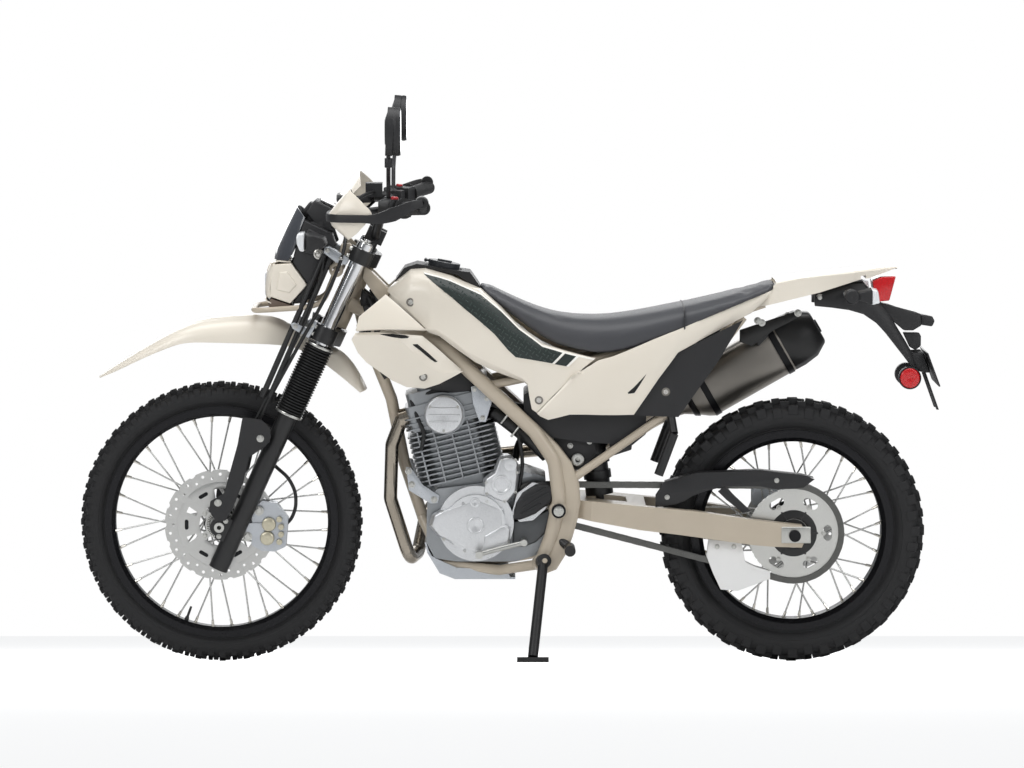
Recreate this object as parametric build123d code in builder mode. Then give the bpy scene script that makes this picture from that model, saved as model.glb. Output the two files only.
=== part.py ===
from build123d import *
from math import atan2, cos, degrees, hypot, pi, radians, sin, tan
import os

# A dual sport motorcycle, parked on its side stand. It is drawn upright, in millimetres: +X runs to the rear,
# +Y to the rider's right and +Z up, from the floor halfway between the axles. The last step leans it to its
# left on to the stand, and puts the origin on the floor at the middle of its footprint.

BASE = (Align.CENTER, Align.CENTER, Align.MIN)
MIDDLE = (Align.CENTER, Align.CENTER, Align.CENTER)

# ---------------------------------------------------------------- driving dimensions
lean = 9.0                   # degrees to the left on the side stand
wheelbase = 1365.0
seat_fit = 0.3               # air between two pieces that are bolted together on curved faces
shaft_fit = 0.05             # radial clearance of a shaft in its own hole
joint_gap = 6.0              # air between pieces that move past each other

rake = 24.6                  # degrees from upright
axle_lead = 38.0             # front axle ahead of the fork tubes
clamp_offset = 16.0          # steering axis behind the fork tubes
fork_half_spacing = 95.0
fork_tube_radius = 18.5
fork_leg_radius = 23.0
gaiter_radius = 34.0

axle_radius = 7.5
axle_bore_radius = 5.0
rear_axle_radius = 8.0
pivot_bolt_radius = 8.0
bar_radius = 11.1
spoke_radius = 2.0


# ---------------------------------------------------------------- parking and writing the files
foot_shift = (8.5, 170.0, 0.0)    # from the floor under the wheels to the middle of the leaned footprint
os.makedirs("parts", exist_ok=True)


def finish(piece, name):
    """Leans an upright piece on to the side stand, labels it and writes it under its node's name."""
    parked = Location(foot_shift) * Rotation(lean, 0, 0)
    with BuildPart() as leaned:
        add([parked * solid for solid in piece.part.solids()])
    leaned.part.label = name
    export_step(leaned.part, f"parts/{name}.step")


# ---------------------------------------------------------------- shared ways of drawing
def across(x, z, y_start):
    """A plane facing +Y, for what runs across the machine: local x points rearward and y down."""
    return Plane(origin=(x, y_start, z), x_dir=(1, 0, 0), z_dir=(0, 1, 0))


def side_slab(outline, y_low, y_high, mode=Mode.ADD, corner=0.0):
    """An (x, z) outline, as seen from the side, from y_low to y_high."""
    with BuildSketch(Plane.XZ.offset(-y_high)) as drawn:
        Polygon(*outline, align=None)
        if corner:
            fillet(drawn.vertices(), corner)
    extrude(drawn.sketch, amount=y_high - y_low, mode=mode)


def plan_slab(outline, z_low, z_high, mode=Mode.INTERSECT, corner=0.0):
    """An (x, y) outline, as seen from above, from z_low to z_high."""
    with BuildSketch(Plane.XY.offset(z_low)) as drawn:
        Polygon(*outline, align=None)
        if corner:
            fillet(drawn.vertices(), corner)
    extrude(drawn.sketch, amount=z_high - z_low, mode=mode)


def both_sides(outline):
    """A left-hand (x, y) plan outline and its mirror image, as one outline across the machine."""
    return [*outline, *[(x, -y) for x, y in reversed(outline)]]


def tube_run(path_points, radius, bend, mode=Mode.ADD):
    """A round tube along straight runs with bends of one radius."""
    with BuildLine() as route:
        FilletPolyline(*path_points, radius=bend)
    line = route.line
    with BuildSketch(Plane(origin=line @ 0, z_dir=line % 0)) as drawn:
        Circle(radius)
    sweep(drawn.sketch, path=line, mode=mode)


def cord(points, radius):
    """A held cable: straight runs between its points, joined by arcs as large as the two runs allow."""
    places = [Vector(*point) for point in points]
    bends = []
    with BuildLine() as route:
        start = places[0]
        for before, here, after in zip(places, places[1:], places[2:]):
            back = (before - here).normalized()
            onward = (after - here).normalized()
            setback = 0.45 * min((before - here).length, (after - here).length)
            half_turn = radians(180.0 - back.get_angle(onward)) / 2
            bend = setback / tan(half_turn)
            inward = (back + onward).normalized()
            Line(start, here + back * setback)
            ThreePointArc(here + back * setback, here + inward * (bend / cos(half_turn) - bend), here + onward * setback)
            start = here + onward * setback
            bends.append(round(bend))
        Line(start, places[-1])
    line = route.wire()
    with BuildSketch(Plane(origin=line @ 0, z_dir=line % 0)) as drawn:
        Circle(radius)
    sweep(drawn.sketch, path=line)
    print("cable of radius", radius, "bends", bends, "volume", round(pi * radius ** 2 * line.length))


def rod(start, end, radius, mode=Mode.ADD):
    """A straight round bar between two points."""
    run = Vector(*end) - Vector(*start)
    with Locations(Plane(origin=start, z_dir=run)):
        Cylinder(radius, run.length, align=BASE, mode=mode)


# ---------------------------------------------------------------- wheels
# One row per wheel: radii are from the axle, half widths from the wheel's middle plane.
TYRE_COLUMNS = ("tip", "lug", "crown_half", "shoulder_half", "shoulder_drop", "wall_half",
                "wall_radius", "bead_half", "bead_radius", "rim_inner", "flange", "pitches", "duty")
FRONT = dict(zip(TYRE_COLUMNS, (338.0, 9.0, 13.0, 37.0, 13.0, 38.0, 300.0, 20.0, 266.7, 254.0, 280.0, 36, 0.56)))
REAR = dict(zip(TYRE_COLUMNS, (318.0, 13.0, 21.0, 54.0, 16.0, 55.0, 270.0, 27.0, 228.6, 214.0, 243.0, 24, 0.58)))

tyre_sides = 36


def lug_half_angle(tyre):
    return 180.0 / tyre["pitches"] * tyre["duty"]


def standing_height(tyre):
    """Height of the axle of an upright wheel whose left crown edge meets the floor once it leans."""
    return tyre["tip"] * cos(radians(lug_half_angle(tyre))) + tyre["crown_half"] * tan(radians(lean))


front_axle = (-wheelbase / 2, standing_height(FRONT))
rear_axle = (wheelbase / 2, standing_height(REAR))


def wheel_plane(axle):
    """The half section of a wheel: across the machine, and out from the axle."""
    return Plane(origin=(axle[0], 0, axle[1]), x_dir=(0, 1, 0), z_dir=(1, 0, 0))


def wheel_axis(axle):
    return Axis((axle[0], 0, axle[1]), (0, 1, 0))


def turned(axle, section):
    """Turns a closed (across, radius) section about a wheel's axle."""
    with BuildSketch(wheel_plane(axle)) as drawn:
        Polygon(*section, align=None)
    revolve(drawn.sketch, axis=wheel_axis(axle))


def mirrored_section(half):
    return [*half, *[(-across_it, radius) for across_it, radius in reversed(half)]]


def lug_band(axle, tyre, tip, y_low, y_high, shift):
    """A ring of lugs: a toothed outline drawn from the side, as wide as the lugs."""
    floor_radius = tip - tyre["lug"]
    pitch = 360.0 / tyre["pitches"]
    half = lug_half_angle(tyre)
    outline = []
    for lug in range(tyre["pitches"]):
        middle = -90.0 + (lug + shift) * pitch
        for turn, radius in ((-half, floor_radius), (-half, tip), (half, tip), (half, floor_radius)):
            angle = radians(middle + turn)
            outline.append((radius * cos(angle), radius * sin(angle)))
    with BuildSketch(Plane(origin=(axle[0], y_high, axle[1]), x_dir=(1, 0, 0), z_dir=(0, -1, 0))) as drawn:
        Polygon(*outline, align=None)
        RegularPolygon(floor_radius - 9.0, 24, mode=Mode.SUBTRACT)
    extrude(drawn.sketch, amount=y_high - y_low)


def sided_body(axle, sections, mode=Mode.ADD):
    """A many-sided body about a wheel's axle, through a row of (across, radius) sections."""
    faces = []
    for across_it, radius in sections:
        with BuildSketch(across(axle[0], axle[1], across_it)) as drawn:
            RegularPolygon(radius, tyre_sides)
        faces.append(drawn.sketch)
    loft(faces, ruled=True, mode=mode)


def make_tyre(axle, tyre):
    """A knobbly tyre: a many-sided casing from bead to crown under three rings of lugs."""
    shoulder_tip = tyre["tip"] - tyre["shoulder_drop"]
    casing = [
        (tyre["wall_half"], tyre["wall_radius"]),
        (tyre["shoulder_half"] - 1.0, shoulder_tip - tyre["lug"] - 1.5),
        (tyre["crown_half"], tyre["tip"] - tyre["lug"] - 1.5),
    ]
    bead = (tyre["bead_half"], tyre["flange"])
    bead_across = tyre["bead_radius"] / cos(pi / tyre_sides)
    with BuildPart() as made:
        sided_body(axle, [*[(-half, radius) for half, radius in casing], *reversed(casing)])
        for side in (-1, 1):
            sided_body(axle, [(side * casing[0][0], casing[0][1]), (side * bead[0], bead[1])], mode=Mode.SUBTRACT)
        sided_body(axle, [(-bead[0], bead_across), (bead[0], bead_across)], mode=Mode.SUBTRACT)
        lug_band(axle, tyre, tyre["tip"], -tyre["crown_half"], tyre["crown_half"], 0.0)
        for low, high in ((tyre["crown_half"], tyre["shoulder_half"]), (-tyre["shoulder_half"], -tyre["crown_half"])):
            lug_band(axle, tyre, shoulder_tip, low, high, 0.5)
    return made


def make_rim(axle, tyre):
    """A shallow aluminium channel that carries the beads."""
    lip = 4.0
    bead = tyre["bead_half"] + 0.2
    with BuildPart() as made:
        turned(axle, mirrored_section([
            (bead, tyre["bead_radius"] - 0.2),
            (bead, tyre["flange"] - 1.0),
            (bead + lip, tyre["flange"] - 1.0),
            (bead + lip, tyre["bead_radius"] - 4.0),
            (bead - 7.0, tyre["rim_inner"]),
        ]))
    return made


def make_spokes(axle, tyre, hub_half, flange_radius, start_turn, end_turn):
    """Thirty-six wire spokes, laced in crossing pairs on the two faces of each hub flange."""
    head = 3.5
    with BuildPart() as group:
        for side in (-1, 1):
            for face in (-1, 1):
                start_angle = radians(face * start_turn + side * 5.0)
                end_angle = radians(face * end_turn + side * 5.0)
                end_radius = tyre["rim_inner"] + 1.5
                rod(
                    (axle[0] + flange_radius * cos(start_angle), side * (hub_half + face * head),
                     axle[1] + flange_radius * sin(start_angle)),
                    (axle[0] + end_radius * cos(end_angle), side * (6.0 + face * head),
                     axle[1] + end_radius * sin(end_angle)),
                    spoke_radius,
                )
    with BuildPart() as made:
        for step in range(9):
            add(group.part.rotate(wheel_axis(axle), step * 40.0))
    return made


def make_disc(axle, y_start, radius, band, waves, boss_radius, bore):
    """A petal brake disc: a drilled ring on five arms and a boss."""
    thickness = 4.0
    face = across(axle[0], axle[1], y_start)
    with BuildPart() as made:
        with BuildSketch(face):
            Circle(radius)
            Circle(radius - band, mode=Mode.SUBTRACT)
            with PolarLocations(radius + 5.0, waves):
                Circle(9.0, mode=Mode.SUBTRACT)
            with PolarLocations(radius - band * 0.38, waves, start_angle=180.0 / waves):
                Circle(3.6, mode=Mode.SUBTRACT)
            with PolarLocations(radius - band * 0.68, waves):
                Circle(3.0, mode=Mode.SUBTRACT)
        extrude(amount=thickness)
        with BuildSketch(face):
            Circle(boss_radius)
            with PolarLocations((boss_radius + radius - band) / 2, 5):
                Rectangle(radius - band - boss_radius + 14.0, 17.0)
            Circle(bore, mode=Mode.SUBTRACT)
        extrude(amount=thickness)
    return made


finish(make_tyre(front_axle, FRONT), "front_tyre")
finish(make_tyre(rear_axle, REAR), "rear_tyre")
finish(make_rim(front_axle, FRONT), "front_rim")
finish(make_rim(rear_axle, REAR), "rear_rim")
finish(make_spokes(front_axle, FRONT, 30.0, 37.0, 5.0, 70.0), "front_spokes")
finish(make_spokes(rear_axle, REAR, 34.0, 61.0, 5.0, 50.0), "rear_spokes")

front_disc_start = -64.0
front_disc_radius = 132.5
front_hub_end = 62.0
wheel_bore = axle_radius + shaft_fit
with BuildPart() as front_hub:
    turned(front_axle, [
        (-front_hub_end + 2.0, wheel_bore), (-front_hub_end + 2.0, 31.0), (-36.0, 31.0), (-34.0, 41.0), (-26.0, 41.0),
        (-24.0, 26.0), (24.0, 26.0), (26.0, 41.0), (34.0, 41.0), (36.0, 22.0),
        (front_hub_end, 20.0), (front_hub_end, wheel_bore),
    ])
finish(front_hub, "front_hub")
finish(make_disc(front_axle, front_disc_start, front_disc_radius, 30.0, 18, 36.0, wheel_bore), "front_disc")

chain_y = -70.0
sprocket_half = 3.0
rear_disc_start = 68.0
rear_disc_radius = 110.0
caliper_slot = 15.0          # width of the slot that a disc runs in
disc_to_slot = 5.5           # air between a disc and the side of that slot
rear_wheel_bore = rear_axle_radius + shaft_fit
with BuildPart() as rear_hub:
    turned(rear_axle, [
        (-76.0, rear_wheel_bore), (-76.0, 34.0), (chain_y + sprocket_half, 34.0), (chain_y + sprocket_half, 62.0),
        (-29.0, 65.0), (-27.0, 44.0), (27.0, 44.0), (29.0, 65.0), (39.0, 65.0), (42.0, 34.0),
        (rear_disc_start, 34.0), (rear_disc_start, rear_wheel_bore),
    ])
finish(rear_hub, "rear_hub")
finish(make_disc(rear_axle, rear_disc_start, rear_disc_radius, 26.0, 15, 36.0, rear_wheel_bore), "rear_disc")

# The 520 chain: pitch 15.875, rollers 10.16 across.
chain_pitch = 15.875
rear_teeth = 45
front_teeth = 14
roller_radius = 5.08
plate_height = 15.0
plate_thickness = 2.0
plate_inset = 4.6            # from the chain's middle to the inside of its plates
output_shaft = (60.0, 402.0)
rear_pitch_radius = chain_pitch / (2 * sin(pi / rear_teeth))
front_pitch_radius = chain_pitch / (2 * sin(pi / front_teeth))
with BuildPart() as rear_sprocket:
    tip_radius = rear_pitch_radius - roller_radius - 0.8
    with BuildSketch(across(rear_axle[0], rear_axle[1], chain_y - sprocket_half)):
        Circle(tip_radius)
        with PolarLocations(tip_radius + 0.5, rear_teeth):
            Circle(2.2, mode=Mode.SUBTRACT)
        with PolarLocations(81.0, 6):
            SlotCenterToCenter(18.0, 20.0, rotation=90, mode=Mode.SUBTRACT)
        Circle(34.0, mode=Mode.SUBTRACT)
    extrude(amount=2 * sprocket_half)
finish(rear_sprocket, "rear_sprocket")

# ---------------------------------------------------------------- steering
u = (sin(radians(rake)), cos(radians(rake)))
p = (cos(radians(rake)), -sin(radians(rake)))
fork_foot = (front_axle[0] + axle_lead * p[0], front_axle[1] + axle_lead * p[1])
steer_foot = (fork_foot[0] + clamp_offset * p[0], fork_foot[1] + clamp_offset * p[1])


def fork_plane(height, side=0.0):
    """Square to the fork tubes: local x points rearward, y to the right, z up the fork."""
    origin = (fork_foot[0] + height * u[0], side, fork_foot[1] + height * u[1])
    return Plane(origin=origin, x_dir=(p[0], 0, p[1]), z_dir=(u[0], 0, u[1]))


def fork_point(height, rearward, side):
    """A point by its height up the fork, its distance behind the tubes and its side."""
    return (fork_foot[0] + height * u[0] + rearward * p[0], side, fork_foot[1] + height * u[1] + rearward * p[1])


leg_foot = -94.0             # heights up the fork, from the foot of the line through its tubes
gaiter_low = 309.0
gaiter_high = 496.0
lower_clamp = (502.0, 540.0)
upper_clamp = (708.0, 742.0)
fork_top = 757.0
stem_radius = 15.0
bearing_gap = 3.0

with BuildPart() as fork_lowers:
    for side in (-fork_half_spacing, fork_half_spacing):
        with Locations(fork_plane(leg_foot, side)):
            Cylinder(fork_leg_radius, gaiter_low - leg_foot, align=BASE)
        with Locations(fork_plane(0.0, side)):
            with Locations((-axle_lead / 2, 0, 0)):
                Box(axle_lead, 34.0, 56.0)
            with Locations((-axle_lead, 0, 0)):
                Cylinder(22.0, 34.0, rotation=(90, 0, 0))
    for side in (-fork_half_spacing, fork_half_spacing):
        with Locations((front_axle[0], side, front_axle[1])):
            Cylinder(axle_radius, 60.0, rotation=(90, 0, 0), mode=Mode.SUBTRACT)
finish(fork_lowers, "fork_lowers")

with BuildPart() as front_axle_shaft:
    with Locations((front_axle[0], 0, front_axle[1])):
        Cylinder(axle_radius, 2 * fork_half_spacing + 44.0, rotation=(90, 0, 0))
    for side in (-1, 1):
        with Locations((front_axle[0], side * 68.5, front_axle[1])):
            Cylinder(13.0, 7.0, rotation=(90, 0, 0))
        with Locations((front_axle[0], side * (fork_half_spacing + 21.0), front_axle[1])):
            Cylinder(12.0, 7.0, rotation=(90, 0, 0))
    with Locations((front_axle[0], 0, front_axle[1])):
        Cylinder(axle_bore_radius, 300.0, rotation=(90, 0, 0), mode=Mode.SUBTRACT)
finish(front_axle_shaft, "front_axle")

with BuildPart() as fork_gaiters:
    ribs = 13
    rib_pitch = (gaiter_high - gaiter_low) / ribs
    section = [(fork_tube_radius, 0.0), (fork_tube_radius, gaiter_high - gaiter_low)]
    for rib in reversed(range(ribs)):
        foot = rib * rib_pitch
        section.append((gaiter_radius - 6.0, foot + rib_pitch))
        section.append((gaiter_radius, foot + rib_pitch * 0.5))
    section.append((gaiter_radius - 6.0, 0.0))
    for side in (-fork_half_spacing, fork_half_spacing):
        base = fork_plane(gaiter_low, side)
        with BuildSketch(Plane(origin=base.origin, x_dir=base.x_dir, z_dir=base.x_dir.cross(base.z_dir))) as drawn:
            Polygon(*section, align=None)
        revolve(drawn.sketch, axis=Axis(base.origin, base.z_dir))
finish(fork_gaiters, "fork_gaiters")

with BuildPart() as fork_tubes:
    for side in (-fork_half_spacing, fork_half_spacing):
        with Locations(fork_plane(gaiter_low, side)):
            Cylinder(fork_tube_radius, fork_top - gaiter_low, align=BASE)
        with Locations(fork_plane(fork_top, side)):
            Cylinder(16.0, 4.0, align=BASE)
            with Locations((0, 0, 4.0)):
                Cylinder(8.5, 7.0, align=BASE)
finish(fork_tubes, "fork_tubes")

with BuildPart() as triple_clamps:
    for low, high in (lower_clamp, upper_clamp):
        with BuildSketch(fork_plane(low)):
            with Locations((0, -fork_half_spacing), (0, fork_half_spacing)):
                Circle(29.0)
            Polygon(*both_sides([(-20, 0), (-20, 62), (0, 95), (26, 78), (44, 34), (46, 0)]), align=None)
        extrude(amount=high - low)
    with Locations(fork_plane(lower_clamp[1])):
        with Locations((clamp_offset, 0, 0)):
            Cylinder(stem_radius, upper_clamp[0] - lower_clamp[1], align=BASE)
    with Locations(fork_plane(lower_clamp[0])):
        for side in (-fork_half_spacing, fork_half_spacing):
            with Locations((0, side, 0)):
                Cylinder(fork_tube_radius, 260.0, align=BASE, mode=Mode.SUBTRACT)
    with Locations(fork_plane(upper_clamp[1])):
        for side in (-34.0, 34.0):
            with Locations((clamp_offset - 4.0, side, 0)):
                Cylinder(13.0, 24.0, align=BASE)
finish(triple_clamps, "triple_clamps")

# The handlebar: a centre span, two rising bends and two swept ends.
bar_centre = fork_point(upper_clamp[1] + 38.0, clamp_offset - 4.0, 0.0)
bar_end = (-193.0, 400.0, 1116.0)
bar_half = [
    (bar_centre[0], 0.0, bar_centre[2]),
    (bar_centre[0], 62.0, bar_centre[2]),
    (bar_centre[0] + 18.0, 150.0, 1098.0),
    bar_end,
]
bar_points = [*[(x, -y, z) for x, y, z in reversed(bar_half[1:])], *bar_half[1:]]
with BuildPart() as handlebar:
    tube_run(bar_points, bar_radius, 38.0)
    for side in (-34.0, 34.0):
        with Locations((bar_centre[0], side, bar_centre[2])):
            Box(44.0, 26.0, 34.0, rotation=(0, rake, 0))
    add(triple_clamps.part, mode=Mode.SUBTRACT)
finish(handlebar, "handlebar")


def along_bar(distance, side):
    """A point on the grip end of the bar, by its distance in from the tip."""
    inner = Vector(bar_half[2][0], bar_half[2][1], bar_half[2][2])
    tip = Vector(*bar_end)
    point = tip + (inner - tip).normalized() * distance
    return (point.X, side * point.Y, point.Z)


with BuildPart() as grips:
    for side in (-1, 1):
        rod(along_bar(-3.0, side), along_bar(122.0, side), 16.0)
        rod(along_bar(122.0, side), along_bar(127.0, side), 24.0)
        rod(along_bar(-8.0, side), along_bar(200.0, side), bar_radius, mode=Mode.SUBTRACT)
finish(grips, "grips")


def bar_plane(distance, side):
    """Square to a grip end of the bar, facing its tip."""
    outward = Vector(*along_bar(0.0, side)) - Vector(*along_bar(10.0, side))
    return Plane(origin=along_bar(distance, side), x_dir=(1, 0, 0), z_dir=outward)


with BuildPart() as controls:
    for side in (-1, 1):
        with Locations(bar_plane(150.0, side)):
            Box(38.0, 40.0, 42.0)
            with Locations((-20.0, 8.0, 0)):
                Cylinder(13.0, 36.0)
        with Locations(bar_plane(196.0, side)):
            Box(30.0, 34.0, 26.0)
        rod(along_bar(196.0, side), (-330.0, side * 252.0, 1098.0), 9.0)
        tube_run([
            (-330.0, side * 236.0, 1096.0), (-333.0, side * 262.0, 1098.0), (-322.0, side * 395.0, 1106.0),
        ], 6.0, 40.0)
        with Locations((-322.0, side * 395.0, 1106.0)):
            Sphere(9.0)
    with Locations((-322.0, 214.0, 1122.0)):
        Box(40.0, 52.0, 34.0)
    rod((-322.0, 214.0, 1106.0), along_bar(196.0, 1), 12.0)
    for side in (-1, 1):
        rod(along_bar(-1.0, side), along_bar(230.0, side), bar_radius, mode=Mode.SUBTRACT)
finish(controls, "controls")

with BuildPart() as mirrors:
    for side in (-1, 1):
        with BuildSketch(Plane(origin=(-262.0, side * 365.0, 1289.0), x_dir=(0, 1, 0), z_dir=(-1, 0, 0.06))):
            Ellipse(42.0, 56.0)
        extrude(amount=16.0)
        with Locations((-270.0, side * 365.0, 1289.0)):
            Box(20.0, 24.0, 24.0)
        tube_run([
            (-274.0, side * 365.0, 1286.0), (-274.0, side * 350.0, 1216.0), (-276.0, side * 268.0, 1172.0),
            (-276.0, side * 244.0, 1104.0),
        ], 5.0, 22.0)
    add(controls.part, mode=Mode.SUBTRACT)
    for side in (-1, 1):
        rod(along_bar(-1.0, side), along_bar(260.0, side), bar_radius, mode=Mode.SUBTRACT)
finish(mirrors, "mirrors")

guard_wall = 4.0
with BuildPart() as hand_guards:
    for side in (-1, 1):
        with BuildSketch(Plane.XY.offset(1020.0)):
            with BuildLine():
                FilletPolyline((-186.0, side * 420.0), (-300.0, side * 438.0), (-396.0, side * 418.0),
                               (-408.0, side * 330.0), (-378.0, side * 226.0), radius=26.0)
            trace(line_width=guard_wall)
        extrude(amount=140.0)
    side_slab([
        (-176, 1132), (-300, 1118), (-350, 1148), (-414, 1104), (-414, 1068), (-392, 1050), (-352, 1036),
        (-316, 1070), (-280, 1090), (-176, 1102),
    ], -500.0, 500.0, mode=Mode.INTERSECT)
    for side in (-1, 1):
        rod(along_bar(2.0, side), (-186.0, side * 422.0, 1117.0), 9.0)
        rod((-378.0, side * 228.0, 1100.0), (-290.0, side * 200.0, 1100.0), 6.0)
    add(controls.part, mode=Mode.SUBTRACT)
    add(handlebar.part, mode=Mode.SUBTRACT)
    add(grips.part, mode=Mode.SUBTRACT)
finish(hand_guards, "hand_guards")

# ---------------------------------------------------------------- front bodywork, all on the steering
cowl_wall = 3.0
COWL_SIDE = [(-588, 868), (-592, 905), (-572, 968), (-516, 970), (-466, 915), (-470, 868)]
COWL_PLAN = [(-592, 30), (-580, 66), (-545, 92), (-460, 97)]
with BuildPart() as cowl_inside:
    side_slab([(-585, 871), (-589, 905), (-570, 965), (-516, 966), (-440, 890), (-440, 871)], -94.0, 94.0)
    plan_slab(both_sides([(-589, 28), (-577, 64), (-543, 89), (-440, 93.5)]), 800.0, 1000.0)
with BuildPart() as headlight_cowl:
    side_slab(COWL_SIDE, -100.0, 100.0)
    plan_slab(both_sides(COWL_PLAN), 800.0, 1000.0)
    add(cowl_inside.part, mode=Mode.SUBTRACT)
    with Locations((-590.0, 0, 912.0)):
        Box(70.0, 104.0, 62.0, mode=Mode.SUBTRACT)
    with Locations((-480.0, 0, 860.0)):
        Box(120.0, 130.0, 60.0, mode=Mode.SUBTRACT)
finish(headlight_cowl, "headlight_cowl")

with BuildPart() as headlamp:
    with Locations((-553.0, 0, 912.0)):
        Box(62.0, 103.6, 61.6)
    with Locations((-510.0, 0, 912.0)):
        Box(40.0, 70.0, 50.0)
    with Locations((-510.0, 0, 880.0)):
        Box(30.0, 130.0, 16.0)
    add(headlight_cowl.part, mode=Mode.SUBTRACT)
finish(headlamp, "headlamp")

screen_foot = Vector(-560.0, 0.0, 971.0)
screen_head = Vector(-482.0, 0.0, 1102.0)
screen_run = screen_head - screen_foot
with BuildPart() as screen:
    with BuildSketch(Plane(origin=screen_foot, x_dir=(0, 1, 0), z_dir=screen_run)):
        with BuildLine():
            ThreePointArc((-86.0, -30.0), (0.0, 0.0), (86.0, -30.0))
        trace(line_width=3.2)
    extrude(amount=screen_run.length)
    with BuildSketch(Plane.YZ.offset(-640.0)):
        Polygon((-86, 970), (-78, 1040), (-52, 1106), (52, 1106), (78, 1040), (86, 970), align=None)
    extrude(amount=240.0, mode=Mode.INTERSECT)
    add(headlight_cowl.part, mode=Mode.SUBTRACT)
finish(screen, "screen")

with BuildPart() as instrument:
    side_slab([(-476, 1066), (-448, 1112), (-408, 1090), (-412, 1036), (-450, 1044)], -66.0, 66.0, corner=6.0)
finish(instrument, "instrument")

bracket_low = 74.0
bracket_high = 84.0
with BuildPart() as cowl_bracket:
    for low, high in ((-bracket_high, -bracket_low), (bracket_low, bracket_high)):
        side_slab([
            (-514, 972), (-486, 1096), (-424, 1108), (-388, 1018), (-416, 968), (-470, 884), (-500, 900),
        ], low, high, corner=4.0)
    side_slab([(-500, 985), (-486, 985), (-426, 1034), (-426, 1044), (-440, 1044)], -bracket_low, bracket_low)
    for height in (522.0, 726.0):
        for side in (-1, 1):
            rod(fork_point(height, -27.0, side * 88.0), fork_point(height, -66.0, side * 80.0), 12.0)
    rod((-482.0, -80.0, 930.0), (-482.0, 80.0, 930.0), 8.0)
    tube_run([
        (-424.0, -82.0, 960.0), (-438.0, -108.0, 874.0), (-540.0, -104.0, 853.0), (-603.0, -60.0, 853.0),
        (-603.0, 60.0, 853.0), (-540.0, 104.0, 853.0), (-438.0, 108.0, 874.0), (-424.0, 82.0, 960.0),
    ], 8.0, 24.0)
    rod((-460.0, -bracket_low, 905.0), fork_point(522.0, -62.0, -80.0), 7.0)
    rod((-460.0, bracket_low, 905.0), fork_point(522.0, -62.0, 80.0), 7.0)
    add(triple_clamps.part, mode=Mode.SUBTRACT)
    add(instrument.part, mode=Mode.SUBTRACT)
    add(headlamp.part, mode=Mode.SUBTRACT)
    add(screen.part, mode=Mode.SUBTRACT)
    add(headlight_cowl.part, mode=Mode.SUBTRACT)
finish(cowl_bracket, "cowl_bracket")

INDICATOR_LENS = [(-478, 1000), (-481, 1016), (-476, 1042), (-468, 1044), (-462, 1042), (-462, 1002)]
with BuildPart() as front_indicators:
    for side in (-1, 1):
        rod((-440.0, side * bracket_high, 1022.0), (-440.0, side * 166.0, 1022.0), 9.0)
        with Locations((-442.0, side * 196.0, 1022.0)):
            Box(40.0, 62.0, 42.0)
        with Locations((-418.0, side * 196.0, 1022.0)):
            Box(14.0, 46.0, 30.0)
        side_slab(INDICATOR_LENS, side * 196.0 - 31.0, side * 196.0 + 31.0)
finish(front_indicators, "front_indicators")

FENDER_TOP = [
    (-974, 688), (-867, 760), (-763, 820), (-682, 835), (-555, 838), (-512, 830), (-480, 790),
    (-398, 752), (-362, 712), (-330, 648),
]
FENDER_LOW = [(-352, 660), (-384, 696), (-424, 736), (-500, 768), (-740, 776), (-800, 768), (-936, 698)]
FENDER_PLAN = [(-980, 18), (-940, 44), (-820, 66), (-600, 66), (-540, 52), (-330, 50)]
fender_wall = 4.0
with BuildPart() as fender_inside:
    side_slab([*[(x + 1.5, z - fender_wall) for x, z in FENDER_TOP], (-370, 600), (-900, 600)], -80.0, 80.0)
    plan_slab(both_sides([(x, y - fender_wall) for x, y in FENDER_PLAN]), 500.0, 900.0)
with BuildPart() as front_fender:
    side_slab([*FENDER_TOP, *FENDER_LOW], -80.0, 80.0)
    plan_slab(both_sides(FENDER_PLAN), 500.0, 900.0)
    add(fender_inside.part, mode=Mode.SUBTRACT)
    with Locations(fork_plane(lower_clamp[0] - 24.0)):
        Box(50.0, 60.0, 48.0)
    add(triple_clamps.part, mode=Mode.SUBTRACT)
finish(front_fender, "front_fender")

GUARD_SIDE = [
    (-625, 604), (-580, 598), (-560, 579), (-558, 556), (-570, 536), (-610, 509), (-623, 452), (-650, 385),
    (-667, 358), (-690, 358), (-705, 382), (-702, 405), (-670, 422), (-637, 539),
]
guard_face = 127.0
guard_top_bolt = (-583.0, 554.0)
guard_low_bolt = (-684.0, 401.0)
with BuildPart() as fork_guards:
    for low, high in ((-guard_face - guard_wall, -guard_face), (guard_face, guard_face + guard_wall)):
        side_slab(GUARD_SIDE, low, high, corner=5.0)
    for side in (-1, 1):
        for bolt in (guard_top_bolt, guard_low_bolt):
            rod((bolt[0], side * (guard_face + 2.0), bolt[1]), (bolt[0], side * 106.0, bolt[1]), 8.0)
        rod((guard_top_bolt[0], side * 112.0, guard_top_bolt[1]), fork_point(236.0, -12.0, side * 108.0), 6.0)
        rod((guard_low_bolt[0], side * 110.0, guard_low_bolt[1]), (front_axle[0], side * 104.0, front_axle[1] + 14.0), 6.0)
    add(fork_lowers.part, mode=Mode.SUBTRACT)
finish(fork_guards, "fork_guards")

with BuildPart() as front_caliper:
    side_slab([
        (-590, 392), (-582, 400), (-548, 394), (-520, 356), (-526, 290), (-552, 278), (-584, 280), (-608, 294),
        (-604, 386),
    ], -86.0, -44.0, corner=5.0)
    with BuildSketch(across(front_axle[0], front_axle[1], front_disc_start - disc_to_slot)):
        Circle(front_disc_radius + joint_gap)
    extrude(amount=caliper_slot, mode=Mode.SUBTRACT)
    with Locations((-612.0, -89.0, 330.0)):
        Box(70.0, 8.0, 34.0)
    add(fork_lowers.part, mode=Mode.SUBTRACT)
finish(front_caliper, "front_caliper")

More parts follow.
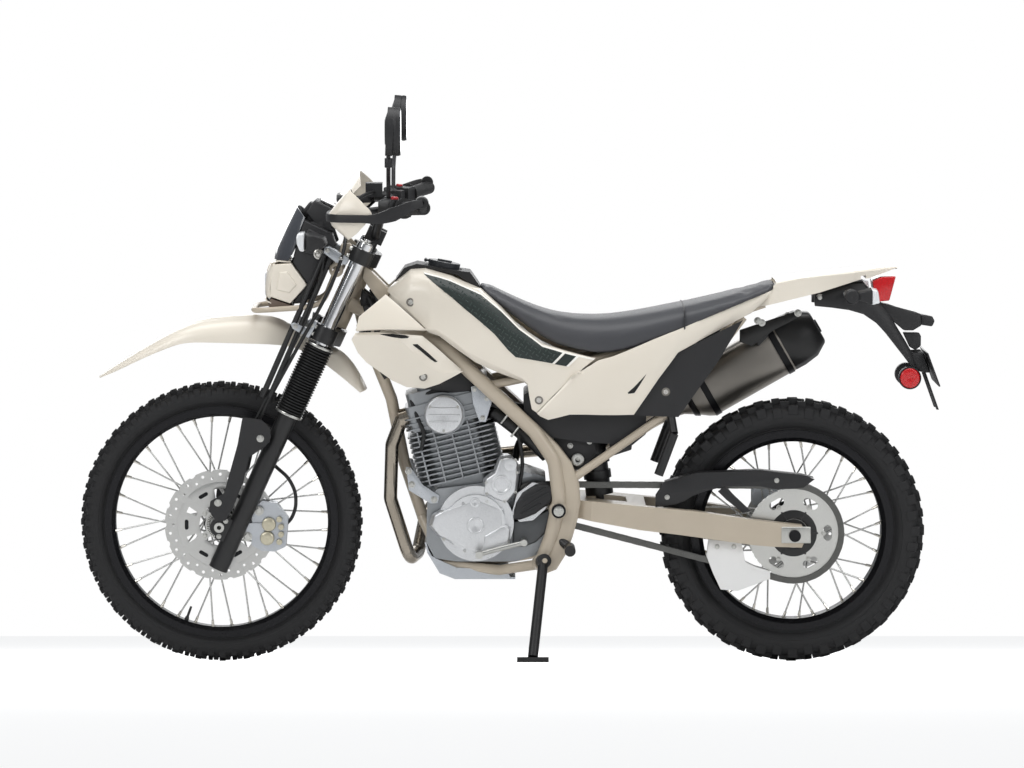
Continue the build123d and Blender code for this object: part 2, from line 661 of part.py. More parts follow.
# Held by clips and unions: the brake hose, the wheel sensor's wire and the leads from the two hand controls.
BRAKE_HOSE = [
    (-322, 190, 1118), (-342, 128, 1116), (-368, 66, 1100), (-384, 0, 1076), (-382, -58, 1050), (-382, -100, 1008),
    (-398, -121, 955), (-432, -122, 880), (-480, -116, 795), (-530, -109, 705), (-572, -104, 628), (-592, -94, 582),
    (-592, -72, 543), (-577, -58, 508), (-550, -63, 478), (-520, -74, 455), (-502, -80, 420), (-502, -76, 382),
    (-514, -68, 352), (-536, -67, 334),
]
SENSOR_WIRE = [
    (-432, -82, 992), (-432, -105, 974), (-441, -120, 930), (-462, -121, 858), (-500, -115, 778), (-542, -110, 698),
    (-583, -106, 622), (-603, -106, 582), (-613, -108, 538), (-628, -108, 490), (-646, -106, 440), (-658, -104, 398),
    (-664, -101, 358),
]
HAND_LEAD = [(-322, 246, 1092), (-338, 222, 1078), (-360, 190, 1072), (-386, 152, 1068), (-406, 116, 1062), (-413, 80, 1050)]
hose_radius = 4.2
wire_radius = 2.5
lead_radius = 3.5
with BuildPart() as front_hoses:
    cord(BRAKE_HOSE, hose_radius)
    cord(SENSOR_WIRE, wire_radius)
    for side in (-1, 1):
        cord([(x, side * y, z) for x, y, z in HAND_LEAD], lead_radius)
    for neighbour in (controls, cowl_bracket, front_caliper, fork_lowers):
        add(neighbour.part, mode=Mode.SUBTRACT)
finish(front_hoses, "front_hoses")

# ---------------------------------------------------------------- frame
head_tube_radius = 25.0
pivot = (122.0, 382.0)
rail_radius = 17.0
rail_half = [
    (-372.0, 20.0, 862.0), (-160.0, 92.0, 777.0), (65.0, 112.0, 569.0), (112.0, 112.0, 500.0),
    (124.0, 112.0, 405.0), (106.0, 108.0, 320.0), (80.0, 98.0, 250.0),
]
cradle_radius = 12.0
cradle_half = [(-204.0, 8.0, 352.0), (-150.0, 66.0, 246.0), (-20.0, 88.0, 234.0), (80.0, 98.0, 250.0)]


def left_and_right(points):
    """The same run of points on both sides of the machine."""
    return [[(x, side * y, z) for x, y, z in points] for side in (-1, 1)]


stand_pivot = (86.0, -136.0, 262.0)
stand_pin_radius = 6.0
stand_axis = Vector(0.24, -1.0, 0.24).normalized()


def stand_point(distance):
    """A point on the stand's pivot axis, outward from the middle of its hub."""
    point = Vector(*stand_pivot) + stand_axis * distance
    return (point.X, point.Y, point.Z)


with BuildPart() as frame_main:
    head_low = lower_clamp[1] + bearing_gap
    with Locations(fork_plane(head_low)):
        with Locations((clamp_offset, 0, 0)):
            Cylinder(head_tube_radius, upper_clamp[0] - bearing_gap - head_low, align=BASE)
    for points in left_and_right(rail_half):
        tube_run(points, rail_radius, 60.0)
    tube_run([(-352.0, 0.0, 852.0), (-338.0, 0.0, 790.0), (-276.0, 0.0, 635.0), (-245.0, 0.0, 480.0),
              (-196.0, 0.0, 335.0)], 14.0, 40.0)
    rod((-60.0, -100.0, 690.0), (-60.0, 100.0, 690.0), 12.0)
    rod((100.0, -105.0, 300.0), (100.0, 105.0, 300.0), 12.0)
    for points in left_and_right(cradle_half):
        tube_run(points, cradle_radius, 40.0)
    rod(stand_point(-34.0), stand_point(-12.0), 20.0)
    rod(stand_point(-20.0), stand_point(16.0), stand_pin_radius)
    with Locations(fork_plane(head_low - 10.0)):
        with Locations((clamp_offset, 0, 0)):
            Cylinder(stem_radius + shaft_fit, 200.0, align=BASE, mode=Mode.SUBTRACT)
    rod((pivot[0], -140.0, pivot[1]), (pivot[0], 140.0, pivot[1]), pivot_bolt_radius, mode=Mode.SUBTRACT)
finish(frame_main, "frame_main")

with BuildPart() as subframe:
    for side in (-1, 1):
        tube_run([(-40.0, side * 88.0, 676.0), (130.0, side * 92.0, 712.0), (610.0, side * 60.0, 868.0)], 10.0, 60.0)
        tube_run([(142.0, side * 104.0, 446.0), (390.0, side * 100.0, 618.0), (560.0, side * 64.0, 836.0)], 10.0, 60.0)
    rod((590.0, -60.0, 862.0), (590.0, 60.0, 862.0), 9.0)
    rod((380.0, -100.0, 612.0), (380.0, 100.0, 612.0), 9.0)
    rod((300.0, -76.0, 768.0), (300.0, 76.0, 768.0), 9.0)
    add(frame_main.part, mode=Mode.SUBTRACT)
finish(subframe, "subframe")

# ---------------------------------------------------------------- rear suspension
arm_inner = 84.0
arm_outer = 110.0
SWINGARM_SIDE = [
    (100, 382), (122, 405), (206, 401), (314, 390), (445, 378), (585, 357), (700, 344), (712, 320), (700, 291),
    (631, 293), (585, 297), (405, 322), (314, 333), (174, 359), (122, 359),
]
with BuildPart() as swingarm:
    side_slab(SWINGARM_SIDE, -arm_outer, arm_outer)
    plan_slab(both_sides([(90, 86), (150, 86), (200, arm_outer), (730, arm_outer)]), 200.0, 500.0)
    with Locations((540.0, 0, 340.0)):
        Box(420.0, 2 * arm_inner, 200.0, mode=Mode.SUBTRACT)
    with Locations((238.0, 0, 340.0)):
        Box(96.0, 92.0, 200.0, mode=Mode.SUBTRACT)
    rod((pivot[0], -140.0, pivot[1]), (pivot[0], 140.0, pivot[1]), pivot_bolt_radius, mode=Mode.SUBTRACT)
    rod((rear_axle[0], -140.0, rear_axle[1]), (rear_axle[0], 140.0, rear_axle[1]), rear_axle_radius,
        mode=Mode.SUBTRACT)
finish(swingarm, "swingarm")

with BuildPart() as rear_axle_shaft:
    rod((pivot[0], -140.0, pivot[1]), (pivot[0], 140.0, pivot[1]), pivot_bolt_radius)
    rod((pivot[0], -140.0, pivot[1]), (pivot[0], -129.2, pivot[1]), 17.0)
    rod((pivot[0], 129.2, pivot[1]), (pivot[0], 140.0, pivot[1]), 17.0)
    rod((rear_axle[0], -126.0, rear_axle[1]), (rear_axle[0], 126.0, rear_axle[1]), rear_axle_radius)
    for low, high in ((-arm_inner, -78.0), (74.0, arm_inner), (-126.0, -arm_outer), (arm_outer, 124.0)):
        rod((rear_axle[0], low, rear_axle[1]), (rear_axle[0], high, rear_axle[1]), 14.0)
finish(rear_axle_shaft, "rear_axle")

with BuildPart() as rear_shock:
    rod((196.0, 0.0, 620.0), (226.0, 0.0, 372.0), 10.0)
    for turn in range(9):
        height = turn * 19.0
        with Locations(Plane(origin=(226.0 - 0.12 * (32.0 + height), 0, 374.0 + 32.0 + height), z_dir=(-0.12, 0, 1))):
            Cylinder(33.0 if turn % 2 == 0 else 28.0, 19.0, align=BASE)
    rod((226.0, -45.0, 374.0), (226.0, 45.0, 374.0), 10.0)
    rod((196.0, -75.0, 622.0), (196.0, 75.0, 622.0), 10.0)
    add(subframe.part, mode=Mode.SUBTRACT)
    add(swingarm.part, mode=Mode.SUBTRACT)
finish(rear_shock, "rear_shock")


def chain_outline(offset):
    """The loop of the chain in side view, a distance outside its pitch line, as points in order."""
    dx = rear_axle[0] - output_shaft[0]
    dz = rear_axle[1] - output_shaft[1]
    slope = atan2(dz, dx)
    lead = (rear_pitch_radius - front_pitch_radius) / hypot(dx, dz)
    swing = pi / 2 + lead
    outline = []
    for centre, radius, start, stop, steps in (
        (output_shaft, front_pitch_radius, slope + swing, slope + 2 * pi - swing, 12),
        (rear_axle, rear_pitch_radius, slope - swing, slope + swing, 40),
    ):
        for step in range(steps + 1):
            angle = start + (stop - start) * step / steps
            reach = radius + offset
            outline.append((centre[0] + reach * cos(angle), centre[1] + reach * sin(angle)))
    return outline


with BuildPart() as chain:
    side_slab(chain_outline(plate_height / 2), chain_y - 8.0, chain_y + 8.0)
    side_slab(chain_outline(-plate_height / 2), chain_y - 8.0, chain_y + 8.0, mode=Mode.SUBTRACT)
    rod((rear_axle[0], chain_y - plate_inset, rear_axle[1]), (rear_axle[0], chain_y + plate_inset, rear_axle[1]),
        rear_pitch_radius - roller_radius, mode=Mode.SUBTRACT)
finish(chain, "chain")

GUIDE_SIDE = [
    (475, 266), (490, 226), (509, 186), (550, 183), (627, 212), (627, 231), (590, 242), (568, 253), (558, 318), (480, 322),
]
with BuildPart() as chain_guards:
    side_slab([
        (352, 418), (372, 446), (450, 470), (600, 474), (700, 462), (731, 452), (704, 444), (600, 453), (470, 448),
        (400, 418), (376, 384), (352, 386),
    ], -96.0, -92.0)
    side_slab([(420, 460), (450, 470), (600, 474), (700, 462), (700, 459), (600, 470), (452, 466), (420, 456)],
              -92.0, -58.0)
    with Locations((366.0, -88.0, 394.0)):
        Box(24.0, 12.0, 24.0)
    side_slab(GUIDE_SIDE, chain_y - 14.0, chain_y - 10.0)
    side_slab(GUIDE_SIDE, chain_y + 10.0, chain_y + 13.0)
    side_slab([(509, 186), (550, 183), (627, 212), (627, 222), (550, 196), (509, 198)], chain_y - 10.0, chain_y + 10.0)
    with Locations((520.0, chain_y - 14.0, 312.0)):
        Box(60.0, 10.0, 14.0)
    add(swingarm.part, mode=Mode.SUBTRACT)
    add(chain.part, mode=Mode.SUBTRACT)
finish(chain_guards, "chain_guards")

with BuildPart() as rear_caliper:
    side_slab([(690, 440), (640, 446), (596, 422), (590, 372), (622, 366), (640, 396), (690, 398)], 54.0, 90.0,
              corner=4.0)
    with BuildSketch(across(rear_axle[0], rear_axle[1], rear_disc_start - disc_to_slot)):
        Circle(rear_disc_radius + joint_gap)
    extrude(amount=caliper_slot, mode=Mode.SUBTRACT)
    with Locations((610.0, 87.0, 384.0)):
        Box(40.0, 6.0, 60.0)
    add(swingarm.part, mode=Mode.SUBTRACT)
finish(rear_caliper, "rear_caliper")

# ---------------------------------------------------------------- engine
case_half = 84.0
with BuildPart() as engine_crankcase:
    side_slab([
        (-172, 262), (-192, 300), (-190, 396), (-166, 428), (-30, 446), (40, 470), (92, 452), (96, 330), (78, 272),
        (20, 254), (-120, 254),
    ], -case_half, case_half, corner=8.0)
    with BuildSketch(across(output_shaft[0], output_shaft[1], -130.0)):
        Circle(56.0)
        with Locations((60.0, 0)):
            Rectangle(120.0, 150.0)
    extrude(amount=130.0 - 52.0, mode=Mode.SUBTRACT)
    rod((-5.0, -60.0, 474.0), (-5.0, 30.0, 474.0), 26.0)
    with BuildSketch(across(output_shaft[0], output_shaft[1], chain_y - sprocket_half)):
        Circle(front_pitch_radius - 7.8)
    extrude(amount=2 * sprocket_half)
    rod((output_shaft[0], -84.0, output_shaft[1]), (output_shaft[0], -40.0, output_shaft[1]), 11.0)
    add(frame_main.part, mode=Mode.SUBTRACT)
finish(engine_crankcase, "engine_crankcase")

with BuildPart() as engine_covers:
    with BuildSketch(across(-74.0, 348.0, -case_half)):
        Circle(90.0)
    extrude(amount=-22.0)
    rod((-74.0, -case_half - 22.0, 348.0), (-74.0, -case_half - 34.0, 348.0), 70.0)
    rod((-74.0, -case_half - 34.0, 348.0), (-74.0, -case_half - 38.0, 348.0), 12.0)
    rod((-11.0, -case_half - 12.0, 440.0), (-11.0, -case_half, 440.0), 30.0)
    with BuildSketch(across(0.0, 360.0, case_half)):
        Circle(88.0)
        with Locations((-110.0, -10.0)):
            Circle(56.0)
        Polygon((-110, -64), (0, -86), (0, 86), (-110, 44), align=None)
    extrude(amount=26.0)
    rod((0.0, case_half + 26.0, 360.0), (0.0, case_half + 34.0, 360.0), 66.0)
    for neighbour in (engine_crankcase, frame_main):
        add(neighbour.part, mode=Mode.SUBTRACT)

with BuildPart() as sprocket_cover:
    side_slab([(11, 372), (24, 420), (60, 446), (92, 440), (92, 384), (62, 356), (30, 352)], -106.0, -90.0, corner=6.0)
    rod((output_shaft[0] - 34.0, -92.0, 380.0), (output_shaft[0] - 34.0, -50.0, 366.0), 6.0)
    for neighbour in (frame_main, engine_crankcase, engine_covers, chain):
        add(neighbour.part, mode=Mode.SUBTRACT)
with BuildPart() as left_and_right_covers:
    add(engine_covers.part)
    add(sprocket_cover.part)
finish(left_and_right_covers, "engine_covers")

cylinder_lean = 14.0
barrel = Plane(origin=(-98.0, 0, 420.0), x_dir=(cos(radians(cylinder_lean)), 0, sin(radians(cylinder_lean))),
               z_dir=(-sin(radians(cylinder_lean)), 0, cos(radians(cylinder_lean))))
fin_count = 11
fin_pitch = 12.0
fin_start = 34.0
head_start = fin_start + fin_count * fin_pitch
with BuildPart() as engine_cylinder:
    with BuildSketch(barrel):
        RectangleRounded(140.0, 124.0, 24.0)
    extrude(amount=head_start)
    for fin in range(fin_count):
        with BuildSketch(barrel.offset(fin_start + fin * fin_pitch)):
            RectangleRounded(208.0, 164.0, 26.0)
        extrude(amount=3.2)
    with BuildSketch(barrel.offset(head_start)):
        RectangleRounded(186.0, 150.0, 20.0)
    extrude(amount=62.0)
    with BuildSketch(barrel.offset(head_start + 62.0)):
        RectangleRounded(168.0, 136.0, 20.0)
    extrude(amount=30.0)
    with BuildSketch(barrel.offset(head_start + 92.0)):
        RectangleRounded(110.0, 110.0, 20.0)
    extrude(amount=10.0)
    rod((-146.0, -75.0, 606.0), (-146.0, -88.0, 606.0), 46.0)
    for fin in range(3):
        with BuildSketch(barrel.offset(head_start + 6.0 + fin * 13.0)):
            RectangleRounded(206.0, 162.0, 26.0)
        extrude(amount=3.2)
    add(engine_crankcase.part, mode=Mode.SUBTRACT)
finish(engine_cylinder, "engine_cylinder")

with BuildPart() as intake:
    rod((-60.0, 0.0, 610.0), (40.0, 0.0, 596.0), 27.0)
    rod((-10.0, -34.0, 603.0), (-10.0, 34.0, 603.0), 20.0)
    side_slab([(40, 560), (40, 655), (120, 690), (330, 700), (330, 560), (296, 532), (186, 540)], -86.0, 86.0, corner=8.0)
    for neighbour in (engine_cylinder, frame_main, subframe, rear_shock, engine_crankcase):
        add(neighbour.part, mode=Mode.SUBTRACT)
finish(intake, "airbox")

header_radius = 16.0
with BuildPart() as exhaust_header:
    rod((-224.0, -42.0, 598.0), (-256.0, -43.0, 590.0), 24.0)
    tube_run([
        (-250.0, -43.0, 592.0), (-274.0, -43.0, 530.0), (-278.0, -43.0, 400.0), (-232.0, -43.0, 254.0),
        (-214.0, 60.0, 256.0), (-196.0, 124.0, 340.0), (-90.0, 142.0, 478.0), (60.0, 152.0, 492.0), (250.0, 152.0, 508.0),
        (400.0, 152.0, 588.0),
    ], header_radius, 34.0)
    for neighbour in (engine_cylinder, engine_crankcase, frame_main):
        add(neighbour.part, mode=Mode.SUBTRACT)
finish(exhaust_header, "exhaust_header")

muffler_start = (470.0, 152.0, 634.0)
muffler_end = (752.0, 152.0, 796.0)
muffler_run = Vector(*muffler_end) - Vector(*muffler_start)
muffler_plane = Plane(origin=muffler_start, x_dir=(0, 1, 0), z_dir=muffler_run)
with BuildPart() as muffler:
    with BuildSketch(muffler_plane):
        SlotCenterToCenter(34.0, 100.0, rotation=90)
    extrude(amount=muffler_run.length - 74.0)
    with BuildSketch(muffler_plane):
        SlotCenterToCenter(34.0, 100.0, rotation=90)
    with BuildSketch(muffler_plane.offset(-86.0)):
        Circle(header_radius + 2.0)
    loft()
    with BuildSketch(muffler_plane.offset(muffler_run.length - 74.0)):
        SlotCenterToCenter(34.0, 106.0, rotation=90)
    with BuildSketch(muffler_plane.offset(muffler_run.length)):
        SlotCenterToCenter(26.0, 84.0, rotation=90)
    loft()
    with BuildSketch(muffler_plane.offset(muffler_run.length - 30.0)):
        Circle(17.0)
    extrude(amount=40.0, mode=Mode.SUBTRACT)
    add(exhaust_header.part, mode=Mode.SUBTRACT)
finish(muffler, "muffler")

with BuildPart() as skid_plate:
    side_slab([(-196, 300), (-190, 276), (-160, 226), (-124, 212), (20, 212), (20, 217), (-122, 217), (-156, 231),
               (-186, 280), (-192, 300)], -86.0, 86.0)
    for side in (-1, 1):
        side_slab([(-190, 276), (-160, 226), (-124, 214), (10, 214), (0, 232), (-120, 240), (-170, 262)],
                  side * 86.0 - 3.0, side * 86.0 + 3.0)
    for neighbour in (frame_main, exhaust_header, engine_crankcase, engine_covers):
        add(neighbour.part, mode=Mode.SUBTRACT)
finish(skid_plate, "skid_plate")

# ---------------------------------------------------------------- bodywork
TANK_SIDE = [
    (-285, 872), (-252, 928), (-236, 942), (-190, 950), (-120, 936), (-72, 904), (-50, 884), (30, 826), (130, 768),
    (120, 742), (60, 702), (-56, 740), (-160, 806), (-243, 868),
]
TANK_FRONT = [(0, 690), (108, 690), (136, 760), (142, 850), (136, 905), (104, 942), (60, 952), (0, 956)]
TANK_PLAN = [(-290, 84), (-240, 122), (-180, 142), (-20, 142), (80, 116), (140, 96)]
with BuildPart() as fuel_tank:
    side_slab(TANK_SIDE, -150.0, 150.0)
    with BuildSketch(Plane.YZ.offset(-300.0)):
        Polygon(*TANK_FRONT[1:-1], *[(-y, z) for y, z in reversed(TANK_FRONT[1:-1])], align=None)
    extrude(amount=500.0, mode=Mode.INTERSECT)
    plan_slab(both_sides(TANK_PLAN), 600.0, 1000.0)
    for neighbour in (frame_main, subframe, intake):
        add(neighbour.part, mode=Mode.SUBTRACT)
finish(fuel_tank, "fuel_tank")

cap_centre = (-151.0, 0.0, 950.0)
cap_plane = Plane(origin=cap_centre, x_dir=(1, 0, -0.18), z_dir=(0.18, 0, 1))
cap_radius = 38.0
cap_height = 13.0
with BuildPart() as tank_cover:
    side_slab([
        (-266, 922), (-244, 952), (-214, 962), (-136, 948), (-88, 942), (-67, 912), (-56, 886), (-60, 870), (-240, 870),
    ], -53.0, 53.0, corner=4.0)
    with Locations(cap_plane):
        Cylinder(cap_radius + 6.0, 30.0, align=(Align.CENTER, Align.CENTER, Align.MAX))
        Cylinder(24.0, 80.0, mode=Mode.SUBTRACT)
        Cylinder(cap_radius + joint_gap, 40.0, align=BASE, mode=Mode.SUBTRACT)
    add(fuel_tank.part, mode=Mode.SUBTRACT)
finish(tank_cover, "tank_cover")

cap_hinge = (-cap_radius - 7.0, 10.0)
with BuildPart() as fuel_cap:
    with Locations(cap_plane.offset(1.0)):
        Cylinder(cap_radius, cap_height, align=BASE)
        with Locations((0, 0, cap_height)):
            Box(34.0, 16.0, 4.0, align=BASE)
    with Locations(cap_plane):
        with Locations((cap_hinge[0], 0, cap_hinge[1])):
            Cylinder(4.0, 26.0, rotation=(90, 0, 0))
            with Locations((7.0, 0, 0)):
                Box(14.0, 20.0, 5.0)
finish(fuel_cap, "fuel_cap")

shroud_run = Vector(260.0, -30.0, 0.0)
with BuildPart() as shrouds:
    for side in (-1, 1):
        run = Vector(shroud_run.X, side * shroud_run.Y, 0)
        start = Vector(-372.0, 0.0, 0.0)
        face = Plane(origin=start, x_dir=(-run.Y, run.X, 0), z_dir=run)
        with BuildSketch(face):
            with BuildLine():
                FilletPolyline((side * 120.0, 946.0), (side * 158.0, 880.0), (side * 188.0, 800.0),
                               (side * 176.0, 660.0), radius=40.0)
            trace(line_width=5.0)
        extrude(amount=290.0)
    side_slab([
        (-344, 851), (-281, 899), (-241, 936), (-150, 905), (-92, 800), (-110, 712), (-203, 677), (-264, 694),
        (-310, 723), (-361, 786), (-355, 814),
    ], -230.0, 230.0, mode=Mode.INTERSECT)
    for side in (-1, 1):
        rod((-190.0, side * 120.0, 850.0), (-190.0, side * 160.0, 850.0), 12.0)
        rod((-150.0, side * 120.0, 760.0), (-150.0, side * 164.0, 760.0), 10.0)
    add(fuel_tank.part, mode=Mode.SUBTRACT)
    add(frame_main.part, mode=Mode.SUBTRACT)
finish(shrouds, "shrouds")

SEAT_SIDE = [
    (-66, 918), (-20, 892), (21, 873), (99, 844), (172, 833), (234, 832), (306, 842), (405, 861), (436, 866),
    (565, 897), (638, 924), (652, 916), (630, 902), (420, 820), (251, 752), (150, 768), (30, 826), (-48, 882),
]
SEAT_PLAN = [(-70, 52), (0, 78), (90, 104), (200, 130), (420, 132), (560, 110), (655, 74)]
with BuildPart() as seat:
    side_slab(SEAT_SIDE, -150.0, 150.0)
    plan_slab(both_sides(SEAT_PLAN), 700.0, 1000.0)
    for neighbour in (fuel_tank, tank_cover, subframe):
        add(neighbour.part, mode=Mode.SUBTRACT)
finish(seat, "seat")

SIDE_COVER = [
    (66, 612), (62, 690), (126, 742), (152, 764), (250, 750), (419, 818), (630, 902), (577, 846), (541, 830),
    (403, 759), (358, 697), (299, 610), (148, 606), (97, 598),
]
COVER_PLAN = [(40, 118), (150, 140), (400, 140), (640, 84)]
with BuildPart() as side_covers:
    for side in (-1, 1):
        with BuildSketch(Plane.XY.offset(590.0)):
            with BuildLine():
                FilletPolyline(*[(x, side * y) for x, y in COVER_PLAN], radius=60.0)
            trace(line_width=5.0)
        extrude(amount=330.0)
    side_slab(SIDE_COVER, -200.0, 200.0, mode=Mode.INTERSECT)
    for side in (-1, 1):
        rod((200.0, side * 84.0, 660.0), (200.0, side * 138.0, 660.0), 8.0)
        rod((470.0, side * 72.0, 822.0), (470.0, side * 124.0, 822.0), 8.0)
    for neighbour in (subframe, intake, fuel_tank, frame_main, seat):
        add(neighbour.part, mode=Mode.SUBTRACT)
finish(side_covers, "side_covers")

with BuildPart() as rear_panels:
    for side in (-1, 1):
        side_slab([(298, 608), (357, 696), (403, 757), (556, 834), (500, 739), (405, 604)],
                  side * 118.0 - 2.5, side * 118.0 + 2.5)
        rod((400.0, side * 98.0, 624.0), (400.0, side * 116.0, 640.0), 8.0)
        rod((520.0, side * 80.0, 800.0), (520.0, side * 118.0, 800.0), 7.0)
    for neighbour in (subframe, side_covers, exhaust_header, muffler):
        add(neighbour.part, mode=Mode.SUBTRACT)
finish(rear_panels, "rear_panels")

with BuildPart() as rear_fender_inside:
    side_slab([(380, 690), (476, 830), (560, 868), (640, 905), (696, 918), (850, 936), (850, 860), (500, 800)], -90.0, 90.0)
    plan_slab(both_sides([(360, 46), (540, 46), (622, 80), (860, 70)]), 600.0, 1000.0)
with BuildPart() as rear_fender:
    side_slab([
        (470, 846), (560, 880), (640, 918), (696, 930), (927, 953), (862, 930), (831, 925), (740, 896), (600, 862),
        (500, 826), (380, 700), (366, 700), (470, 832),
    ], -84.0, 84.0)
    plan_slab(both_sides([(360, 50), (540, 50), (622, 84), (820, 76), (930, 44)]), 600.0, 1000.0)
    add(rear_fender_inside.part, mode=Mode.SUBTRACT)
    for neighbour in (seat, subframe, side_covers, rear_panels, intake):
        add(neighbour.part, mode=Mode.SUBTRACT)
finish(rear_fender, "rear_fender")

EXTENSION_SIDE = [
    (690, 884), (736, 896), (831, 926), (860, 928), (872, 880), (926, 768), (966, 704), (1003, 652), (996, 648),
    (958, 694), (915, 752), (863, 816), (808, 856), (736, 864),
]
plate_plane = Plane(origin=(968.0, 0, 742.0), x_dir=(0, 1, 0), z_dir=(0.86, 0, 0.5))
plate_holes = 146.0
plate_thickness = 4.0
with BuildPart() as extension_inside:
    side_slab([
        (700, 890), (830, 922), (858, 880), (918, 764), (960, 700), (1010, 630), (940, 690), (850, 800), (800, 850),
    ], -41.0, 41.0)
with BuildPart() as plate_holder:
    side_slab(EXTENSION_SIDE, -46.0, 46.0)
    add(extension_inside.part, mode=Mode.SUBTRACT)
    side_slab([(862, 872), (872, 880), (894, 868), (985, 826), (985, 811), (915, 819), (890, 836)], -58.0, 58.0)
    for side in (-1, 1):
        rod((912.0, side * 30.0, 742.0), (966.0, side * 30.0, 742.0), 8.0)
        rod((936.0, side * 44.0, 703.0), (936.0, side * 56.0, 703.0), 26.0)
    with BuildSketch(plate_plane):
        RectangleRounded(170.0, 60.0, 6.0)
    extrude(amount=plate_thickness)
    with BuildSketch(plate_plane):
        with PolarLocations(plate_holes / 2, 2):
            Circle(3.5)
    extrude(amount=2 * plate_thickness, both=True, mode=Mode.SUBTRACT)
    add(rear_fender.part, mode=Mode.SUBTRACT)
finish(plate_holder, "plate_holder")

with BuildPart() as tail_lamp:
    side_slab([(852, 890), (874, 888), (890, 938), (862, 938), (846, 930)], -48.0, 48.0, corner=2.0)
    for neighbour in (plate_holder, rear_fender):
        add(neighbour.part, mode=Mode.SUBTRACT)
finish(tail_lamp, "tail_lamp")

with BuildPart() as rear_indicators:
    for side in (-1, 1):
        rod((790.0, side * 45.0, 891.0), (790.0, side * 120.0, 900.0), 8.0)
        with Locations((788.0, side * 142.0, 902.0)):
            Box(62.0, 50.0, 38.0)
    add(plate_holder.part, mode=Mode.SUBTRACT)
    add(rear_fender.part, mode=Mode.SUBTRACT)
finish(rear_indicators, "rear_indicators")

# ---------------------------------------------------------------- foot controls
with BuildPart() as footpegs:
    for side in (-1, 1):
        rod((148.0, side * 118.0, 292.0), (148.0, side * 206.0, 296.0), 13.0)
        rod((118.0, side * 100.0, 316.0), (148.0, side * 124.0, 292.0), 11.0)
        rod((388.0, side * 110.0, 604.0), (394.0, side * 134.0, 566.0), 10.0)
        rod((394.0, side * 134.0, 566.0), (358.0, side * 134.0, 468.0), 11.0)
    for neighbour in (frame_main, subframe, exhaust_header, side_covers, rear_panels):
        add(neighbour.part, mode=Mode.SUBTRACT)
finish(footpegs, "footpegs")

with BuildPart() as foot_levers:
    rod((40.0, -84.0, 306.0), (40.0, -140.0, 306.0), 8.0)
    tube_run([(40.0, -132.0, 306.0), (-20.0, -140.0, 292.0), (-66.0, -146.0, 280.0)], 6.0, 20.0)
    rod((-66.0, -128.0, 280.0), (-66.0, -164.0, 280.0), 9.0)
    rod((96.0, 105.0, 268.0), (96.0, 150.0, 268.0), 10.0)
    tube_run([(96.0, 142.0, 268.0), (20.0, 150.0, 262.0), (-84.0, 150.0, 300.0)], 7.0, 30.0)
    rod((-84.0, 134.0, 300.0), (-84.0, 168.0, 300.0), 9.0)
    for neighbour in (engine_crankcase, engine_covers, frame_main, exhaust_header):
        add(neighbour.part, mode=Mode.SUBTRACT)
finish(foot_levers, "foot_levers")

# ---------------------------------------------------------------- side stand
def floor_under(y):
    """Height of the floor in the upright drawing, under a point to one side, once the machine leans."""
    return -y * tan(radians(lean))


foot_y = -272.0
foot_x = 60.0
foot_height = floor_under(foot_y)
with BuildPart() as side_stand:
    rod(stand_point(-10.0), stand_point(10.0), 17.0)
    rod(stand_pivot, (foot_x, foot_y, foot_height + 12.0), 12.0)
    rod(stand_point(-60.0), stand_point(-10.0), 22.0, mode=Mode.SUBTRACT)
    rod(stand_point(-60.0), stand_point(60.0), stand_pin_radius + shaft_fit, mode=Mode.SUBTRACT)
    with Locations(Plane(origin=(foot_x, foot_y, foot_height), x_dir=(1, 0, 0),
                         z_dir=(0, sin(radians(lean)), cos(radians(lean))))):
        Box(74.0, 46.0, 12.0, align=BASE)
finish(side_stand, "side_stand")
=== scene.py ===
import bmesh
import bpy
import math
from mathutils import Matrix, Vector


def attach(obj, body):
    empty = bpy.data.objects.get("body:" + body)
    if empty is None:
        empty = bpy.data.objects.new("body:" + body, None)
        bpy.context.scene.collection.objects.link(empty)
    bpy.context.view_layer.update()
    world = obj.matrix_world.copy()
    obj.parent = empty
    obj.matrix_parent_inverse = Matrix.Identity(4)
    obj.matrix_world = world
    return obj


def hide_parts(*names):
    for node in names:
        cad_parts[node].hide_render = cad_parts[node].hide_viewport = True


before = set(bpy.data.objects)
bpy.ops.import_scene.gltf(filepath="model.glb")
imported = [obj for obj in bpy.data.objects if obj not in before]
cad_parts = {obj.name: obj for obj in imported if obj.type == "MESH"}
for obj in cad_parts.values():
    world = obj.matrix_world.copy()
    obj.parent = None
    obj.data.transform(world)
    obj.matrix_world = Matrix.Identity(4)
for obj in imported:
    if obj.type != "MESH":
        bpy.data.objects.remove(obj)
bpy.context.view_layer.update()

# ---------------------------------------------------------------- floor, light and camera
# A pale studio sweep: the floor is white where the camera sees it and keeps the machine's own shadow.
# Two soft boxes light the machine's left side, a long one its right, and a wide one hangs overhead.
scene = bpy.context.scene
scene.view_settings.view_transform = "Standard"


def linear(code):
    """An sRGB hex colour as linear RGBA."""
    parts = [int(code[i:i + 2], 16) / 255 for i in (1, 3, 5)]
    return (*[c / 12.92 if c <= 0.04045 else ((c + 0.055) / 1.055) ** 2.4 for c in parts], 1.0)


def add_node(tree, kind, settings=None, inputs=None):
    """Adds a node; an input given as (node, output) is linked, and any other is set."""
    node = tree.nodes.new(kind)
    for key, value in (settings or {}).items():
        setattr(node, key, value)
    for key, value in (inputs or {}).items():
        if isinstance(value, tuple) and len(value) == 2 and hasattr(value[0], "outputs"):
            tree.links.new(value[0].outputs[value[1]], node.inputs[key])
        else:
            node.inputs[key].default_value = value
    return node


def blank_material(name):
    """A material with an empty node tree."""
    material = bpy.data.materials.new(name)
    material.use_nodes = True
    material.node_tree.nodes.clear()
    return material, material.node_tree


